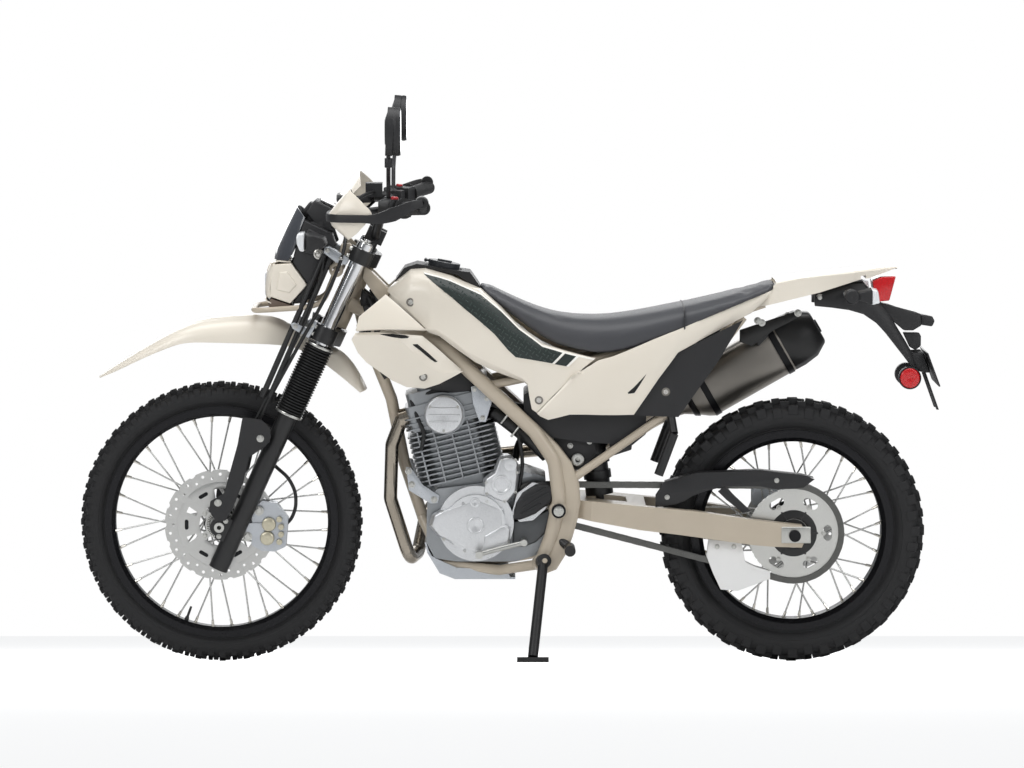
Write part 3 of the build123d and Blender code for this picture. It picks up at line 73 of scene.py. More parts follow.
# The camera, and what it sees through glass, meets white; all else is lit by a dim pale grey.
world = bpy.data.worlds.new("studio")
scene.world = world
world.use_nodes = True
tree = world.node_tree
tree.nodes.clear()
rays = add_node(tree, "ShaderNodeLightPath")
seen = add_node(tree, "ShaderNodeMath", {"operation": "ADD", "use_clamp": True},
                {0: (rays, "Is Camera Ray"), 1: (rays, "Is Transmission Ray")})
dim = add_node(tree, "ShaderNodeBackground", inputs={"Color": linear("#E9ECEF"), "Strength": 0.31})
white = add_node(tree, "ShaderNodeBackground", inputs={"Color": linear("#FFFFFF"), "Strength": 1.0})
both = add_node(tree, "ShaderNodeMixShader", inputs={0: (seen, 0), 1: (dim, 0), 2: (white, 0)})
add_node(tree, "ShaderNodeOutputWorld", inputs={"Surface": (both, 0)})


def add_object(name, data):
    """A new object in the scene."""
    thing = bpy.data.objects.new(name, data)
    scene.collection.objects.link(thing)
    return thing


def aimed(place, target):
    """Stands at a place and faces a point."""
    facing = (Vector(target) - Vector(place)).to_track_quat("-Z", "Y")
    return Matrix.Translation(place) @ facing.to_matrix().to_4x4()


def soft_box(name, place, target, size, watts):
    """An area lamp that faces a point."""
    lamp = bpy.data.lights.new(name, "AREA")
    lamp.shape = "RECTANGLE"
    lamp.size, lamp.size_y = size
    lamp.energy = watts
    add_object(name, lamp).matrix_world = aimed(place, target)


soft_box("overhead", (0.0, -0.6, 3.4), (0.0, 0.1, 0.5), (4.5, 2.2), 92.0)
soft_box("left_front", (-2.6, -3.2, 2.2), (-0.3, 0.0, 0.6), (2.0, 1.6), 50.0)
soft_box("left_rear", (2.8, -3.0, 1.8), (0.4, 0.0, 0.6), (1.6, 1.6), 36.0)
soft_box("right", (0.0, 3.4, 2.2), (0.0, 0.1, 0.6), (4.0, 1.6), 50.0)

floor_mesh = bpy.data.meshes.new("floor")
floor_mesh.from_pydata([(-14, -9, 0), (14, -9, 0), (14, 16, 0), (-14, 16, 0)], [], [(0, 1, 2, 3)])
floor = add_object("floor", floor_mesh)
# Matt white sheet that takes the shadow; a glow that only the camera sees keeps the rest of it white.
material, tree = blank_material("pale_floor")
matt = add_node(tree, "ShaderNodeBsdfPrincipled", inputs={"Base Color": linear("#F4F4F4"), "Roughness": 0.9})
glow = add_node(tree, "ShaderNodeEmission", inputs={"Color": linear("#FFFFFF"), "Strength": 0.66})
rays = add_node(tree, "ShaderNodeLightPath")
nothing = add_node(tree, "ShaderNodeEmission", inputs={"Strength": 0.0})
lifted = add_node(tree, "ShaderNodeMixShader",
                  inputs={0: (rays, "Is Camera Ray"), 1: (nothing, 0), 2: (glow, 0)})
total = add_node(tree, "ShaderNodeAddShader", inputs={0: (matt, 0), 1: (lifted, 0)})
add_node(tree, "ShaderNodeOutputMaterial", inputs={"Surface": (total, 0)})
floor_mesh.materials.append(material)

# Every piece is drawn upright in millimetres (+X rear, +Y the rider's right, from the floor between the
# axles) and this leans it on to its stand.
lean = math.radians(9.0)
foot_of_lean = (0.0085, 0.170, 0.0)
metres = (0.001, 0.001, 0.001, 1.0)
parked = Matrix.Translation(foot_of_lean) @ Matrix.Rotation(lean, 4, "X") @ Matrix.Diagonal(metres)

# A long lens low on the machine's left, ten metres off, so that the side is seen almost flat.
camera_data = bpy.data.cameras.new("camera")
camera_data.sensor_width = 36.0
camera_data.lens = 154.5
camera = add_object("camera", camera_data)
camera.matrix_world = aimed((-0.033, -10.42, 0.10), parked @ Vector((12.0, 0.0, 670.0)))
scene.camera = camera

# ---------------------------------------------------------------- tyres
# Knobbly trail tyres in black natural rubber: a round casing with a ribbed wall, moulded in one with its
# lugs. The casing is turned from its section; one pitch of lugs is drawn and copied round the axle.


def end_material(tree, blend, light, dark, height, relief, depth, **shader_inputs):
    """Ends a material: a colour between two, by a pattern, over a relief."""
    tint = add_node(tree, "ShaderNodeMix", {"data_type": "RGBA"},
                    {0: blend, 6: linear(dark), 7: linear(light)})
    bump = add_node(tree, "ShaderNodeBump", inputs={"Height": height, "Strength": relief, "Distance": depth})
    shader = add_node(tree, "ShaderNodeBsdfPrincipled", inputs={
        "Base Color": (tint, 2), "Normal": (bump, 0),
        **{key.replace("_", " "): value for key, value in shader_inputs.items()}})
    add_node(tree, "ShaderNodeOutputMaterial", inputs={"Surface": (shader, 0)})


def surface(name, light, dark, roughness, metallic=0.0, grain=900, relief=0.15, depth=0.0004, coat=0.0,
            spread=0.12):
    """A surface whose colour and roughness wander between two shades over a fine relief.

    grain is in features per metre and depth in metres.
    """
    material, tree = blank_material(name)
    place = add_node(tree, "ShaderNodeTexCoord")
    fine = add_node(tree, "ShaderNodeTexNoise",
                    inputs={"Vector": (place, "Object"), "Scale": grain, "Detail": 3.0})
    broad = add_node(tree, "ShaderNodeTexNoise",
                     inputs={"Vector": (place, "Object"), "Scale": 9.0, "Detail": 4.0})
    rough = add_node(tree, "ShaderNodeMapRange", inputs={
        "Value": (fine, 0), "From Min": 0.3, "From Max": 0.7,
        "To Min": max(roughness - spread, 0.03), "To Max": min(roughness + spread, 1.0)})
    end_material(tree, (broad, 0), light, dark, (fine, 0), relief, depth, Roughness=(rough, 0),
                 Metallic=metallic, Coat_Weight=coat, Coat_Roughness=0.08)
    return material


def lathe(bm, profile, origin, axis, steps):
    """Turns a closed loop of (along, radius) points about an axis."""
    axis = Vector(axis).normalized()
    side = axis.orthogonal().normalized()
    up = axis.cross(side)
    rings = []
    for step in range(steps):
        angle = math.radians(360.0 * step / steps)
        out = side * math.cos(angle) + up * math.sin(angle)
        rings.append([bm.verts.new(Vector(origin) + axis * along + out * radius)
                      for along, radius in profile])
    count = len(profile)
    for here, there in zip(rings, rings[1:] + rings[:1]):
        for k in range(count):
            bm.faces.new((here[k], here[(k + 1) % count], there[(k + 1) % count], there[k]))


def turned(bm, profile, origin, axis, steps):
    """Turns a body that is solid to its axis, but for a pinhole; the profile leaves out its ends there."""
    pinhole = 0.05
    lathe(bm, [(profile[0][0], pinhole), *profile, (profile[-1][0], pinhole)], origin, axis, steps)


def solid_between(bm, low, high):
    """A closed solid between two loops with as many points each."""
    base = [bm.verts.new(point) for point in low]
    top = [bm.verts.new(point) for point in high]
    bm.faces.new(base)
    bm.faces.new(list(reversed(top)))
    for k in range(len(base)):
        bm.faces.new((base[k], top[k], top[(k + 1) % len(top)], base[(k + 1) % len(base)]))


def tidy(bm, bevel=0.0, segments=2, sharp=32.0):
    """Merges doubles, turns faces outward, rounds the sharp edges and marks what is left of them."""
    bmesh.ops.remove_doubles(bm, verts=bm.verts, dist=0.01)
    bmesh.ops.recalc_face_normals(bm, faces=bm.faces)
    limit = math.radians(sharp)
    if bevel:
        edges = [edge for edge in bm.edges if edge.is_manifold and edge.calc_face_angle(0.0) > limit]
        bmesh.ops.bevel(bm, geom=edges, offset=bevel, segments=segments, profile=0.5, affect="EDGES",
                        clamp_overlap=True)
    for face in bm.faces:
        face.smooth = True
    for edge in bm.edges:
        edge.smooth = not edge.is_manifold or edge.calc_face_angle(0.0) < limit


def settle(mesh, name, body, materials, replaced=()):
    """Leans an upright mesh on to the stand and makes it a piece of the machine."""
    mesh.name = name
    mesh.transform(parked)
    if materials:
        mesh.materials.clear()
        for material in materials:
            mesh.materials.append(material)
    piece = add_object(name, mesh)
    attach(piece, body)
    if replaced:
        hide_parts(*replaced)
    return piece


def drawn(bm, name):
    """The mesh of what was drawn."""
    mesh = bpy.data.meshes.new(name)
    bm.to_mesh(mesh)
    bm.free()
    return mesh


def piece_from(bm, name, body, materials, replaced=(), bevel=0.0, segments=2, sharp=32.0):
    """Finishes a drawn mesh and makes it a piece."""
    tidy(bm, bevel, segments, sharp)
    return settle(drawn(bm, name), name, body, materials, replaced)


def group_input(tree, name, kind, value=None):
    """A named input of a node group, and the key by which a modifier sets it."""
    socket = tree.interface.new_socket(name, in_out="INPUT", socket_type=kind)
    if value is not None:
        socket.default_value = value
    return socket.identifier


def give_copies(tree, given, placed):
    """Ends a tree of copies: they are made real and take their finish."""
    real = add_node(tree, "GeometryNodeRealizeInstances", inputs={"Geometry": (placed, 0)})
    painted = add_node(tree, "GeometryNodeSetMaterial",
                       inputs={"Geometry": (real, 0), "Material": (given, "Finish")})
    tree.interface.new_socket("Mesh", in_out="OUTPUT", socket_type="NodeSocketGeometry")
    add_node(tree, "NodeGroupOutput", inputs={0: (painted, 0)})


def round_the_axle():
    """The node tree that copies a mesh round an axis."""
    tree = bpy.data.node_groups.new("copies round an axis", "GeometryNodeTree")
    group_input(tree, "Mesh", "NodeSocketGeometry")
    keys = {
        "count": group_input(tree, "Count", "NodeSocketInt", 12),
        "centre": group_input(tree, "Centre", "NodeSocketVector"),
        "axis": group_input(tree, "Axis", "NodeSocketVector"),
        "finish": group_input(tree, "Finish", "NodeSocketMaterial"),
    }
    group_input(tree, "Whole Turn", "NodeSocketFloat", 2 * math.pi)
    given = add_node(tree, "NodeGroupInput")
    away = add_node(tree, "ShaderNodeVectorMath", {"operation": "SCALE"}, {0: (given, "Centre"), 3: -1.0})
    centred = add_node(tree, "GeometryNodeTransform",
                       inputs={"Geometry": (given, "Mesh"), "Translation": (away, 0)})
    points = add_node(tree, "GeometryNodePoints",
                      inputs={"Count": (given, "Count"), "Position": (given, "Centre")})
    index = add_node(tree, "GeometryNodeInputIndex")
    step = add_node(tree, "ShaderNodeMath", {"operation": "DIVIDE"},
                    {0: (given, "Whole Turn"), 1: (given, "Count")})
    angle = add_node(tree, "ShaderNodeMath", {"operation": "MULTIPLY"}, {0: (index, 0), 1: (step, 0)})
    rotation = add_node(tree, "FunctionNodeAxisAngleToRotation",
                        inputs={"Axis": (given, "Axis"), "Angle": (angle, 0)})
    placed = add_node(tree, "GeometryNodeInstanceOnPoints", inputs={
        "Points": (points, 0), "Instance": (centred, 0), "Rotation": (rotation, 0)})
    give_copies(tree, given, placed)
    return tree, keys


axle_copies, axle_keys = round_the_axle()


def plain(holder):
    """The plain mesh of an object under its modifiers."""
    return bpy.data.meshes.new_from_object(holder.evaluated_get(bpy.context.evaluated_depsgraph_get()))


def evaluated(mesh, tree, settings):
    """The plain mesh that a node tree makes of a drawn one."""
    holder = add_object("unit", mesh)
    modifier = holder.modifiers.new("copies", "NODES")
    modifier.node_group = tree
    for identifier, value in settings.items():
        modifier[identifier] = value
    result = plain(holder)
    bpy.data.objects.remove(holder)
    return result


def ring_mesh(bm, count, centre, axis, material):
    """A mesh copied evenly round an axis."""
    return evaluated(drawn(bm, "unit"), axle_copies, {
        axle_keys["count"]: count, axle_keys["centre"]: centre, axle_keys["axis"]: axis,
        axle_keys["finish"]: material})


# Natural rubber straight from the mould: nearly black and dull, with a fine grain that breaks up any shine.
tyre_rubber = surface("tyre_natural_rubber", "#1C1C1E", "#131314", 0.74, grain=1300, relief=0.30)
front_axle = (-682.5, 0.0, 339.655)
rear_axle = (682.5, 0.0, 320.410)
across = (0.0, 1.0, 0.0)


def casing_profile(half):
    """A half section from bead to crown, mirrored into a closed loop."""
    return [*half, *[(-along, radius) for along, radius in reversed(half)]]


def add_lug(bm, axle, low, high, turn, length, floor, tip):
    """One lug with sloping flanks; low and high are across the wheel, turn and length in degrees."""
    slope = 0.22
    before, after = turn - length / 2, turn + length / 2
    loops = []
    for radius, shrink in ((floor, 0), (tip, 1)):
        loop = []
        for y, angle in ((low + shrink, before), (high - shrink, before), (high - shrink, after),
                         (low + shrink, after)):
            drawn_in = math.radians(angle - shrink * slope * (1 if angle > turn else -1))
            loop.append((axle[0] + radius * math.sin(drawn_in), y, axle[2] - radius * math.cos(drawn_in)))
        loops.append(loop)
    solid_between(bm, *loops)


# Columns: across from, across to, place in the pitch, length along it (both as shares), floor and tip radius.
FRONT_LUGS = [
    (-12, 12, 0.00, 0.30, 325, 337.2), (-25, -14, 0.24, 0.24, 322, 333.5), (14, 25, 0.24, 0.24, 322, 333.5),
    (-24, -12, 0.74, 0.24, 322, 333.5), (12, 24, 0.74, 0.24, 322, 333.5), (-9, 9, 0.50, 0.22, 325, 337),
    (-37, -26, 0.02, 0.30, 309, 325.5), (26, 37, 0.02, 0.30, 309, 325.5),
    (-38, -28, 0.52, 0.28, 306, 321.5), (28, 38, 0.52, 0.28, 306, 321.5),
]
REAR_LUGS = [
    (-19, -2, 0.00, 0.32, 302, 316.9), (2, 19, 0.00, 0.32, 302, 316.9), (-13, 13, 0.50, 0.26, 302, 316.9),
    (-36, -18, 0.26, 0.30, 299, 312), (18, 36, 0.26, 0.30, 299, 312),
    (-37, -17, 0.76, 0.28, 299, 312), (17, 37, 0.76, 0.28, 299, 312),
    (-54, -38, 0.02, 0.32, 282, 304), (38, 54, 0.02, 0.32, 282, 304),
    (-55, -40, 0.52, 0.30, 274, 298), (40, 55, 0.52, 0.30, 274, 298),
]
FRONT_CASING = [(20.2, 266.9), (20, 276), (21.5, 283), (27, 285.5), (32.5, 290), (34, 293.4), (35.6, 293.8),
                (37.2, 300), (37.6, 306), (36.4, 312), (33.5, 317), (28, 321.5), (20, 325), (10, 327),
                (0.1, 327.6)]
REAR_CASING = [(27.2, 228.9), (27, 239), (29, 246.5), (37, 250), (46, 257), (48.5, 262), (50.8, 262.6),
               (53, 270), (53.6, 278), (52.2, 286), (48.5, 292), (40, 298), (28, 302.6), (14, 304.6),
               (0.1, 305.2)]
for name, axle, casing, lugs, pitches, body, node in (
    ("front_tyre_rubber", front_axle, FRONT_CASING, FRONT_LUGS, 36, "front_wheel", "front_tyre"),
    ("rear_tyre_rubber", rear_axle, REAR_CASING, REAR_LUGS, 24, "rear_wheel", "rear_tyre"),
):
    bm = bmesh.new()
    lathe(bm, casing_profile(casing), axle, across, 120)
    piece_from(bm, name, body, [tyre_rubber], (node,))
    bm = bmesh.new()
    pitch = 360.0 / pitches
    for low, high, share, length, floor_radius, tip in lugs:
        add_lug(bm, axle, low, high, share * pitch, length * pitch, floor_radius, tip)
    tidy(bm, 1.1, 1)
    settle(ring_mesh(bm, pitches, axle, across, tyre_rubber), name.replace("rubber", "lugs"), body,
           (), (node,))

# ---------------------------------------------------------------- rims, spokes and nipples
# Extruded aluminium channels, rolled and anodised black, laced with thirty-six stainless spokes.
# Each spoke ends in a bright nickel-plated nipple, turned from brass and seated in the rim.


def paint(material, *names):
    """Gives solids their finish."""
    for name in names:
        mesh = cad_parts[name].data
        mesh.materials.clear()
        mesh.materials.append(material)


# Anodised aluminium: a dark oxide skin that still shines a little like metal.
anodised_black = surface("anodised_black_aluminium", "#1B1B1E", "#131316", 0.30, 0.55, grain=900, relief=0.03)
# Stainless wire is bright and smooth, faintly drawn; nickel plate is warmer and close to a mirror.
stainless_wire = surface("drawn_stainless_wire", "#CDCDCB", "#BDBDBB", 0.24, 1.0, grain=1500, relief=0.03)
nickel_plate = surface("nickel_plated_brass", "#D8D4CC", "#CBC7BE", 0.20, 1.0, grain=1500, relief=0.02)
paint(anodised_black, "front_rim", "rear_rim")
paint(stainless_wire, "front_spokes", "rear_spokes")

for name, axle, body, rim_inner, hub_half, flange_radius, end_turn in (
    ("front_nipples", front_axle, "front_wheel", 254, 30, 37, 70),
    ("rear_nipples", rear_axle, "rear_wheel", 214, 34, 61, 50),
):
    bm = bmesh.new()
    for side in (-1, 1):
        for face in (-1, 1):
            start = math.radians(face * 5.0 + side * 5.0)
            end = math.radians(face * end_turn + side * 5.0)
            foot = Vector((axle[0] + flange_radius * math.cos(start), side * (hub_half + face * 3.5),
                           axle[2] + flange_radius * math.sin(start)))
            head = Vector((axle[0] + (rim_inner + 2.5) * math.cos(end), side * (6.0 + face * 3.5),
                           axle[2] + (rim_inner + 2.5) * math.sin(end)))
            inward = (foot - head).normalized()
            turned(bm, [(0, 4.6), (4, 4.6), (5.5, 3.4), (17, 3), (18, 2.2)], head, inward, 8)
    tidy(bm)
    settle(ring_mesh(bm, 9, axle, across, nickel_plate), name, body, ())

# The valve stands inward from the rim, in black rubber; its bright core is not drawn.
valve_rubber = surface("valve_rubber", "#171717", "#101010", 0.55, grain=900, relief=0.08)
for name, axle, body, rim_inner, turn in (
    ("front_valve", front_axle, "front_wheel", 254, 250), ("rear_valve", rear_axle, "rear_wheel", 214, 205),
):
    out = Vector((math.cos(math.radians(turn)), 0.0, math.sin(math.radians(turn))))
    bm = bmesh.new()
    turned(bm, [(0, 5.5), (-6, 5), (-9, 3.2), (-26, 3), (-34, 2.6)], Vector(axle) + out * rim_inner, out, 14)
    piece_from(bm, name, body, [valve_rubber])

# ---------------------------------------------------------------- hubs, discs and sprocket
# Cast hubs painted black carry petal discs, ground flat from stainless sheet, and a zinc-plated steel
# sprocket, all bolted on. A toothed ring beside the front disc serves the speed sensor, and a ribbed black
# cover closes the rear hub's drive side.
# Enamel over rough castings is soft black; zinc is pale and bright, blackened steel is a dull oily grey, and
# the sprocket's plating is bright but a little frosted.
hub_paint = surface("black_hub_enamel", "#1C1C1D", "#141415", 0.40, 0.0, grain=1100, relief=0.12)
bolt_zinc = surface("zinc_plated_steel", "#C9C9C5", "#B4B4B0", 0.30, 1.0, grain=1600, relief=0.04)
black_steel = surface("blackened_steel", "#232325", "#18181A", 0.38, 0.7, grain=1400, relief=0.06)
sprocket_steel = surface("zinc_plated_sprocket", "#CFCFCC", "#BEBEBA", 0.32, 1.0, grain=1300, relief=0.05)


def ground_steel(name, centre, light, dark):
    """Steel ground flat round its own centre: fine rings, 0.6 mm apart so that they are seen."""
    material, tree = blank_material(name)
    place = add_node(tree, "ShaderNodeTexCoord")
    middle = parked @ Vector(centre)
    centred = add_node(tree, "ShaderNodeMapping", inputs={"Vector": (place, "Object"), "Location": -middle})
    rings = add_node(tree, "ShaderNodeTexWave", {"wave_type": "RINGS", "rings_direction": "SPHERICAL"},
                     {"Vector": (centred, 0), "Scale": 260.0, "Distortion": 1.5, "Detail": 2.0,
                      "Detail Scale": 0.4})
    end_material(tree, (rings, "Fac"), light, dark, (rings, "Fac"), 0.05, 0.0003, Roughness=0.30,
                 Metallic=0.9)
    return material


def add_bolt(bm, place, axis, radius, height, washer=1.0):
    """A hexagon head on its washer; the axis points out of the work."""
    turned(bm, [(-1, radius * 1.35), (washer, radius * 1.35)], place, axis, 16)
    turned(bm, [(washer, radius), (height * 0.8, radius), (height, radius * 0.8)], place, axis, 6)


def add_cap_screw(bm, place, axis, radius, height):
    """A round socket head with its hexagon socket."""
    turned(bm, [(-1, radius), (height * 0.85, radius), (height, radius * 0.88),
                (height, radius * 0.5), (height * 0.45, radius * 0.5)], place, axis, 12)


paint(hub_paint, "front_hub", "rear_hub")
paint(bolt_zinc, "front_axle")
paint(black_steel, "rear_axle")
paint(ground_steel("ground_front_disc", front_axle, "#D0D0CE", "#A9A9A7"), "front_disc")
paint(ground_steel("ground_rear_disc", rear_axle, "#D0D0CE", "#A9A9A7"), "rear_disc")
paint(sprocket_steel, "rear_sprocket")

left = (0.0, -1.0, 0.0)
right = (0.0, 1.0, 0.0)
sides = ((-1, left), (1, right))


def from_axle(axle, *points):
    """Points given from the middle of a wheel."""
    return [(axle[0] + x, y, axle[2] + z) for x, y, z in points]


bm = bmesh.new()
lathe(bm, [(64, 24), (64, 35), (66.5, 35), (66.5, 24)], front_axle, left, 64)
piece_from(bm, "front_sensor_ring", "front_wheel", [bolt_zinc], bevel=0.4)
bm = bmesh.new()
solid_between(bm, *[from_axle(front_axle, (-0.8, y, 26), (0.8, y, 26), (1, y, 33), (-1, y, 33))
                    for y in (-66.6, -66.2)])
tidy(bm)
settle(ring_mesh(bm, 44, front_axle, across, black_steel), "front_sensor_slots", "front_wheel", ())

for name, axle, body, circle, y, radius, count, out in (
    ("front_disc_bolts", front_axle, "front_wheel", 45, -64, 5, 5, left),
    ("rear_disc_bolts", rear_axle, "rear_wheel", 44, 72, 5, 5, right),
    ("rear_sprocket_bolts", rear_axle, "rear_wheel", 71, -73, 4.6, 6, left),
):
    bm = bmesh.new()
    add_bolt(bm, (axle[0] + circle, y, axle[2]), out, radius, 4.4)
    tidy(bm, 0.3, 1)
    settle(ring_mesh(bm, count, axle, across, bolt_zinc), name, body, ())

bm = bmesh.new()
lathe(bm, [(67, 35), (67, 61), (71, 61), (74.5, 52), (75.8, 40), (75.8, 35)], rear_axle, left, 72)
piece_from(bm, "rear_hub_cover", "rear_wheel", [hub_paint], bevel=0.6)
bm = bmesh.new()
solid_between(
    bm, from_axle(rear_axle, (35, -72, -4), (60, -70, -3), (60, -70, 3), (35, -72, 4)),
    from_axle(rear_axle, (35, -77.4, -2.6), (58, -74, -2), (58, -74, 2), (35, -77.4, 2.6)))
tidy(bm, 0.6, 1)
settle(ring_mesh(bm, 6, rear_axle, across, hub_paint), "rear_hub_ribs", "rear_wheel", ())

# ---------------------------------------------------------------- frame
# Steel cradle and seat rails, MIG welded and powder coated in a warm grey; the swingarm is welded
# aluminium in the same colour, with a slotted adjuster block at each end of the rear axle.
# Powder coat melts into an even warm grey skin with a faint orange peel.
powder_grey = surface("warm_grey_powder_coat", "#BDB2A1", "#B1A593", 0.40, grain=1600, relief=0.08, coat=0.15)
paint(powder_grey, "frame_main", "subframe", "swingarm", "cowl_bracket")
for side in (-1, 1):
    bm = bmesh.new()
    y, face = side * 108.0, side * 112.0
    solid_between(bm, [(650, y, 300), (650, y, 342), (722, y, 342), (722, y, 300)],
                  [(652, face, 303), (652, face, 339), (720, face, 339), (720, face, 303)])
    piece_from(bm, f"axle_block_{'left' if side < 0 else 'right'}", "chassis", [bolt_zinc], bevel=2)

# ---------------------------------------------------------------- springs and stand
# The shock's spring and body, the side stand and pegs are steel, blackened or painted satin black; the levers
# are zinc plated.
satin_black = surface("satin_black_steel_paint", "#1D1D1E", "#151516", 0.36, grain=1500, relief=0.08)
paint(satin_black, "rear_shock", "side_stand", "footpegs")
paint(bolt_zinc, "foot_levers")

# ---------------------------------------------------------------- frame spars
# Box-section steel spars, pressed and welded, run from the steering head down past the engine to the swingarm
# pivot, and carry the powder coat of the rest of the frame.
SPAR = [
    ((-190, 806), 26), ((-113, 734), 32), ((-20, 648), 32), ((73, 560), 33), ((108, 524), 35),
    ((136, 485), 38), ((151, 441), 41), ((153, 401), 42), ((147, 362), 41), ((136, 322), 40),
    ((123, 284), 38), ((106, 250), 32), ((74, 236), 26),
]
spar_depth = 34.0


def closed_loft(bm, rings):
    """A closed body through rings of points, capped at both ends."""
    made = [[bm.verts.new(point) for point in ring] for ring in rings]
    for here, there in zip(made, made[1:]):
        for k in range(len(here)):
            bm.faces.new((here[k], here[(k + 1) % len(here)], there[(k + 1) % len(here)], there[k]))
    bm.faces.new(made[0])
    bm.faces.new(list(reversed(made[-1])))


bm = bmesh.new()
for side in (-1, 1):
    rings = []
    for number, ((x, z), width) in enumerate(SPAR):
        before, after = SPAR[max(number - 1, 0)][0], SPAR[min(number + 1, len(SPAR) - 1)][0]
        run = Vector((after[0] - before[0], 0.0, after[1] - before[1])).normalized()
        across_run = Vector((-run.z, 0.0, run.x)) * (width / 2)
        outer = 96.0 + 22.0 * min(1.0, max(0.0, (700 - z) / 180.0))
        middle = Vector((x, 0.0, z))
        rings.append([middle + across_run * share + Vector((0, side * y, 0)) for share, y in (
            (1, outer - 5), (0.62, outer), (-0.62, outer), (-1, outer - 5), (-1, outer - spar_depth),
            (1, outer - spar_depth))])
    closed_loft(bm, rings)
piece_from(bm, "frame_spars", "chassis", [powder_grey], bevel=2, segments=3, sharp=18)

# The pivot's ring stands on the spar, with the bright end of the bolt; its dark seal is not drawn.
for side, out in sides:
    word = "left" if side < 0 else "right"
    bm = bmesh.new()
    lathe(bm, [(104, 12), (104, 24), (121, 21), (124, 18.5), (124, 12)], (122, 0, 382), out, 40)
    piece_from(bm, f"pivot_boss_{word}", "chassis", [powder_grey], bevel=0.8)
    bm = bmesh.new()
    add_bolt(bm, (122, side * 140.5, 382), out, 9, 5, 1.5)
    piece_from(bm, f"pivot_nut_{word}", "chassis", [bolt_zinc], bevel=0.5)

# ---------------------------------------------------------------- engine
# An air-cooled single: die-cast aluminium cases, blasted and clear-lacquered, under a finned barrel and head.
# Covers are screwed on round their rims; the front sprocket hides behind a moulded black cover.
# Blasted castings are grey and sparkle a little; lacquered covers are paler and smoother; the side of the
# rear case is a darker grey; zinc-plated brackets are faintly blue; black plastic and rubber are dull.
case_alloy = surface("blasted_cast_aluminium", "#A3A6A9", "#8A8D90", 0.40, 0.82, grain=1100, relief=0.22)
cover_alloy = surface("lacquered_cover_aluminium", "#DADBDD", "#C9CBCD", 0.32, 0.72, grain=1500, relief=0.08,
                      coat=0.2)
# A darker grey for the side of the rear case.
dark_case = surface("darker_grey_case_side", "#5E6062", "#4E5052", 0.45, 0.5, grain=1200, relief=0.20)
bracket_zinc = surface("pressed_zinc_bracket", "#BFC3C8", "#AEB2B7", 0.34, 0.8, grain=1400, relief=0.05)
black_pp = surface("black_grained_polypropylene", "#202022", "#18181A", 0.50, grain=1400, relief=0.35)
hose_rubber = surface("black_hose_rubber", "#161617", "#101011", 0.50, grain=1200, relief=0.08)
paint(case_alloy, "engine_crankcase", "engine_cylinder")
paint(cover_alloy, "engine_covers")
paint(bracket_zinc, "skid_plate")


def plate(bm, outline, y_low, y_high, taper=0.0):
    """A slab between two distances from the middle plane; taper draws its outer face in, in millimetres."""
    middle = (sum(x for x, z in outline) / len(outline), sum(z for x, z in outline) / len(outline))
    far = []
    for x, z in outline:
        reach = Vector((x - middle[0], z - middle[1]))
        reach *= max(0.0, 1.0 - taper / max(reach.length, 1.0))
        far.append((middle[0] + reach.x, y_high, middle[1] + reach.y))
    solid_between(bm, [(x, y_low, z) for x, z in outline], far)


bm = bmesh.new()
plate(bm, [(-157, 384), (-122, 398), (-90, 410), (-62, 412), (-22, 395), (-4, 386), (-2, 347), (12, 343),
           (10, 300), (-26, 280), (-82, 274), (-122, 292), (-168, 318), (-187, 343), (-180, 370)],
      -98, -119, 9)
plate(bm, [(-58, 322), (-8, 350), (10, 340), (8, 304), (-26, 284), (-62, 278)], -100, -121, 5)
piece_from(bm, "generator_cover", "chassis", [cover_alloy], bevel=4, segments=4)
bm = bmesh.new()
plate(bm, [(-58, 454), (-34, 474), (-18, 510), (9, 512), (28, 490), (30, 466), (24, 418), (-2, 391),
           (-26, 399), (-61, 418)], -88, -110, 8)
piece_from(bm, "starter_cover", "chassis", [cover_alloy], bevel=3.5, segments=3)
bm = bmesh.new()
turned(bm, [(116, 21), (123, 20), (124, 17), (122.5, 15.5)], (-75, 0, 345), left, 48)
turned(bm, [(112, 12.5), (121.5, 12), (121.5, 8), (119.5, 7)], (-76, 0, 400), left, 36)
lathe(bm, [(106, 16), (106, 25), (112, 24), (113, 20), (111.5, 16)], (-14, 0, 442), left, 40)
turned(bm, [(104, 16), (111, 15)], (8, 0, 489), left, 32)
piece_from(bm, "cover_bosses", "chassis", [cover_alloy], bevel=0.8)
bm = bmesh.new()
plate(bm, [(12, 352), (70, 367), (105, 384), (100, 346), (92, 322), (70, 300), (40, 288), (12, 292)],
      -80, -97, 4)
piece_from(bm, "rear_case_side", "chassis", [dark_case], bevel=2.5, segments=3)
bm = bmesh.new()
plate(bm, [(11, 355), (12, 378), (17, 398), (33, 426), (69, 447), (101, 448), (124, 433), (109, 398),
           (69, 367), (29, 353)], -92, -116, 8)
piece_from(bm, "sprocket_cover_leaf", "chassis", [black_pp], bevel=4, segments=4)
bm = bmesh.new()
for start, end in (((32, 404), (92, 436)), ((36, 386), (98, 424)), ((30, 370), (80, 398))):
    run = Vector((end[0] - start[0], end[1] - start[1])).normalized()
    side_step = Vector((-run.y, run.x)) * 2.0
    plate(bm, [(start[0] + side_step.x, start[1] + side_step.y), (end[0] + side_step.x, end[1] + side_step.y),
               (end[0] - side_step.x, end[1] - side_step.y),
               (start[0] - side_step.x, start[1] - side_step.y)],
          -114, -119, 1)
piece_from(bm, "sprocket_cover_ribs", "chassis", [black_pp], bevel=0.8)

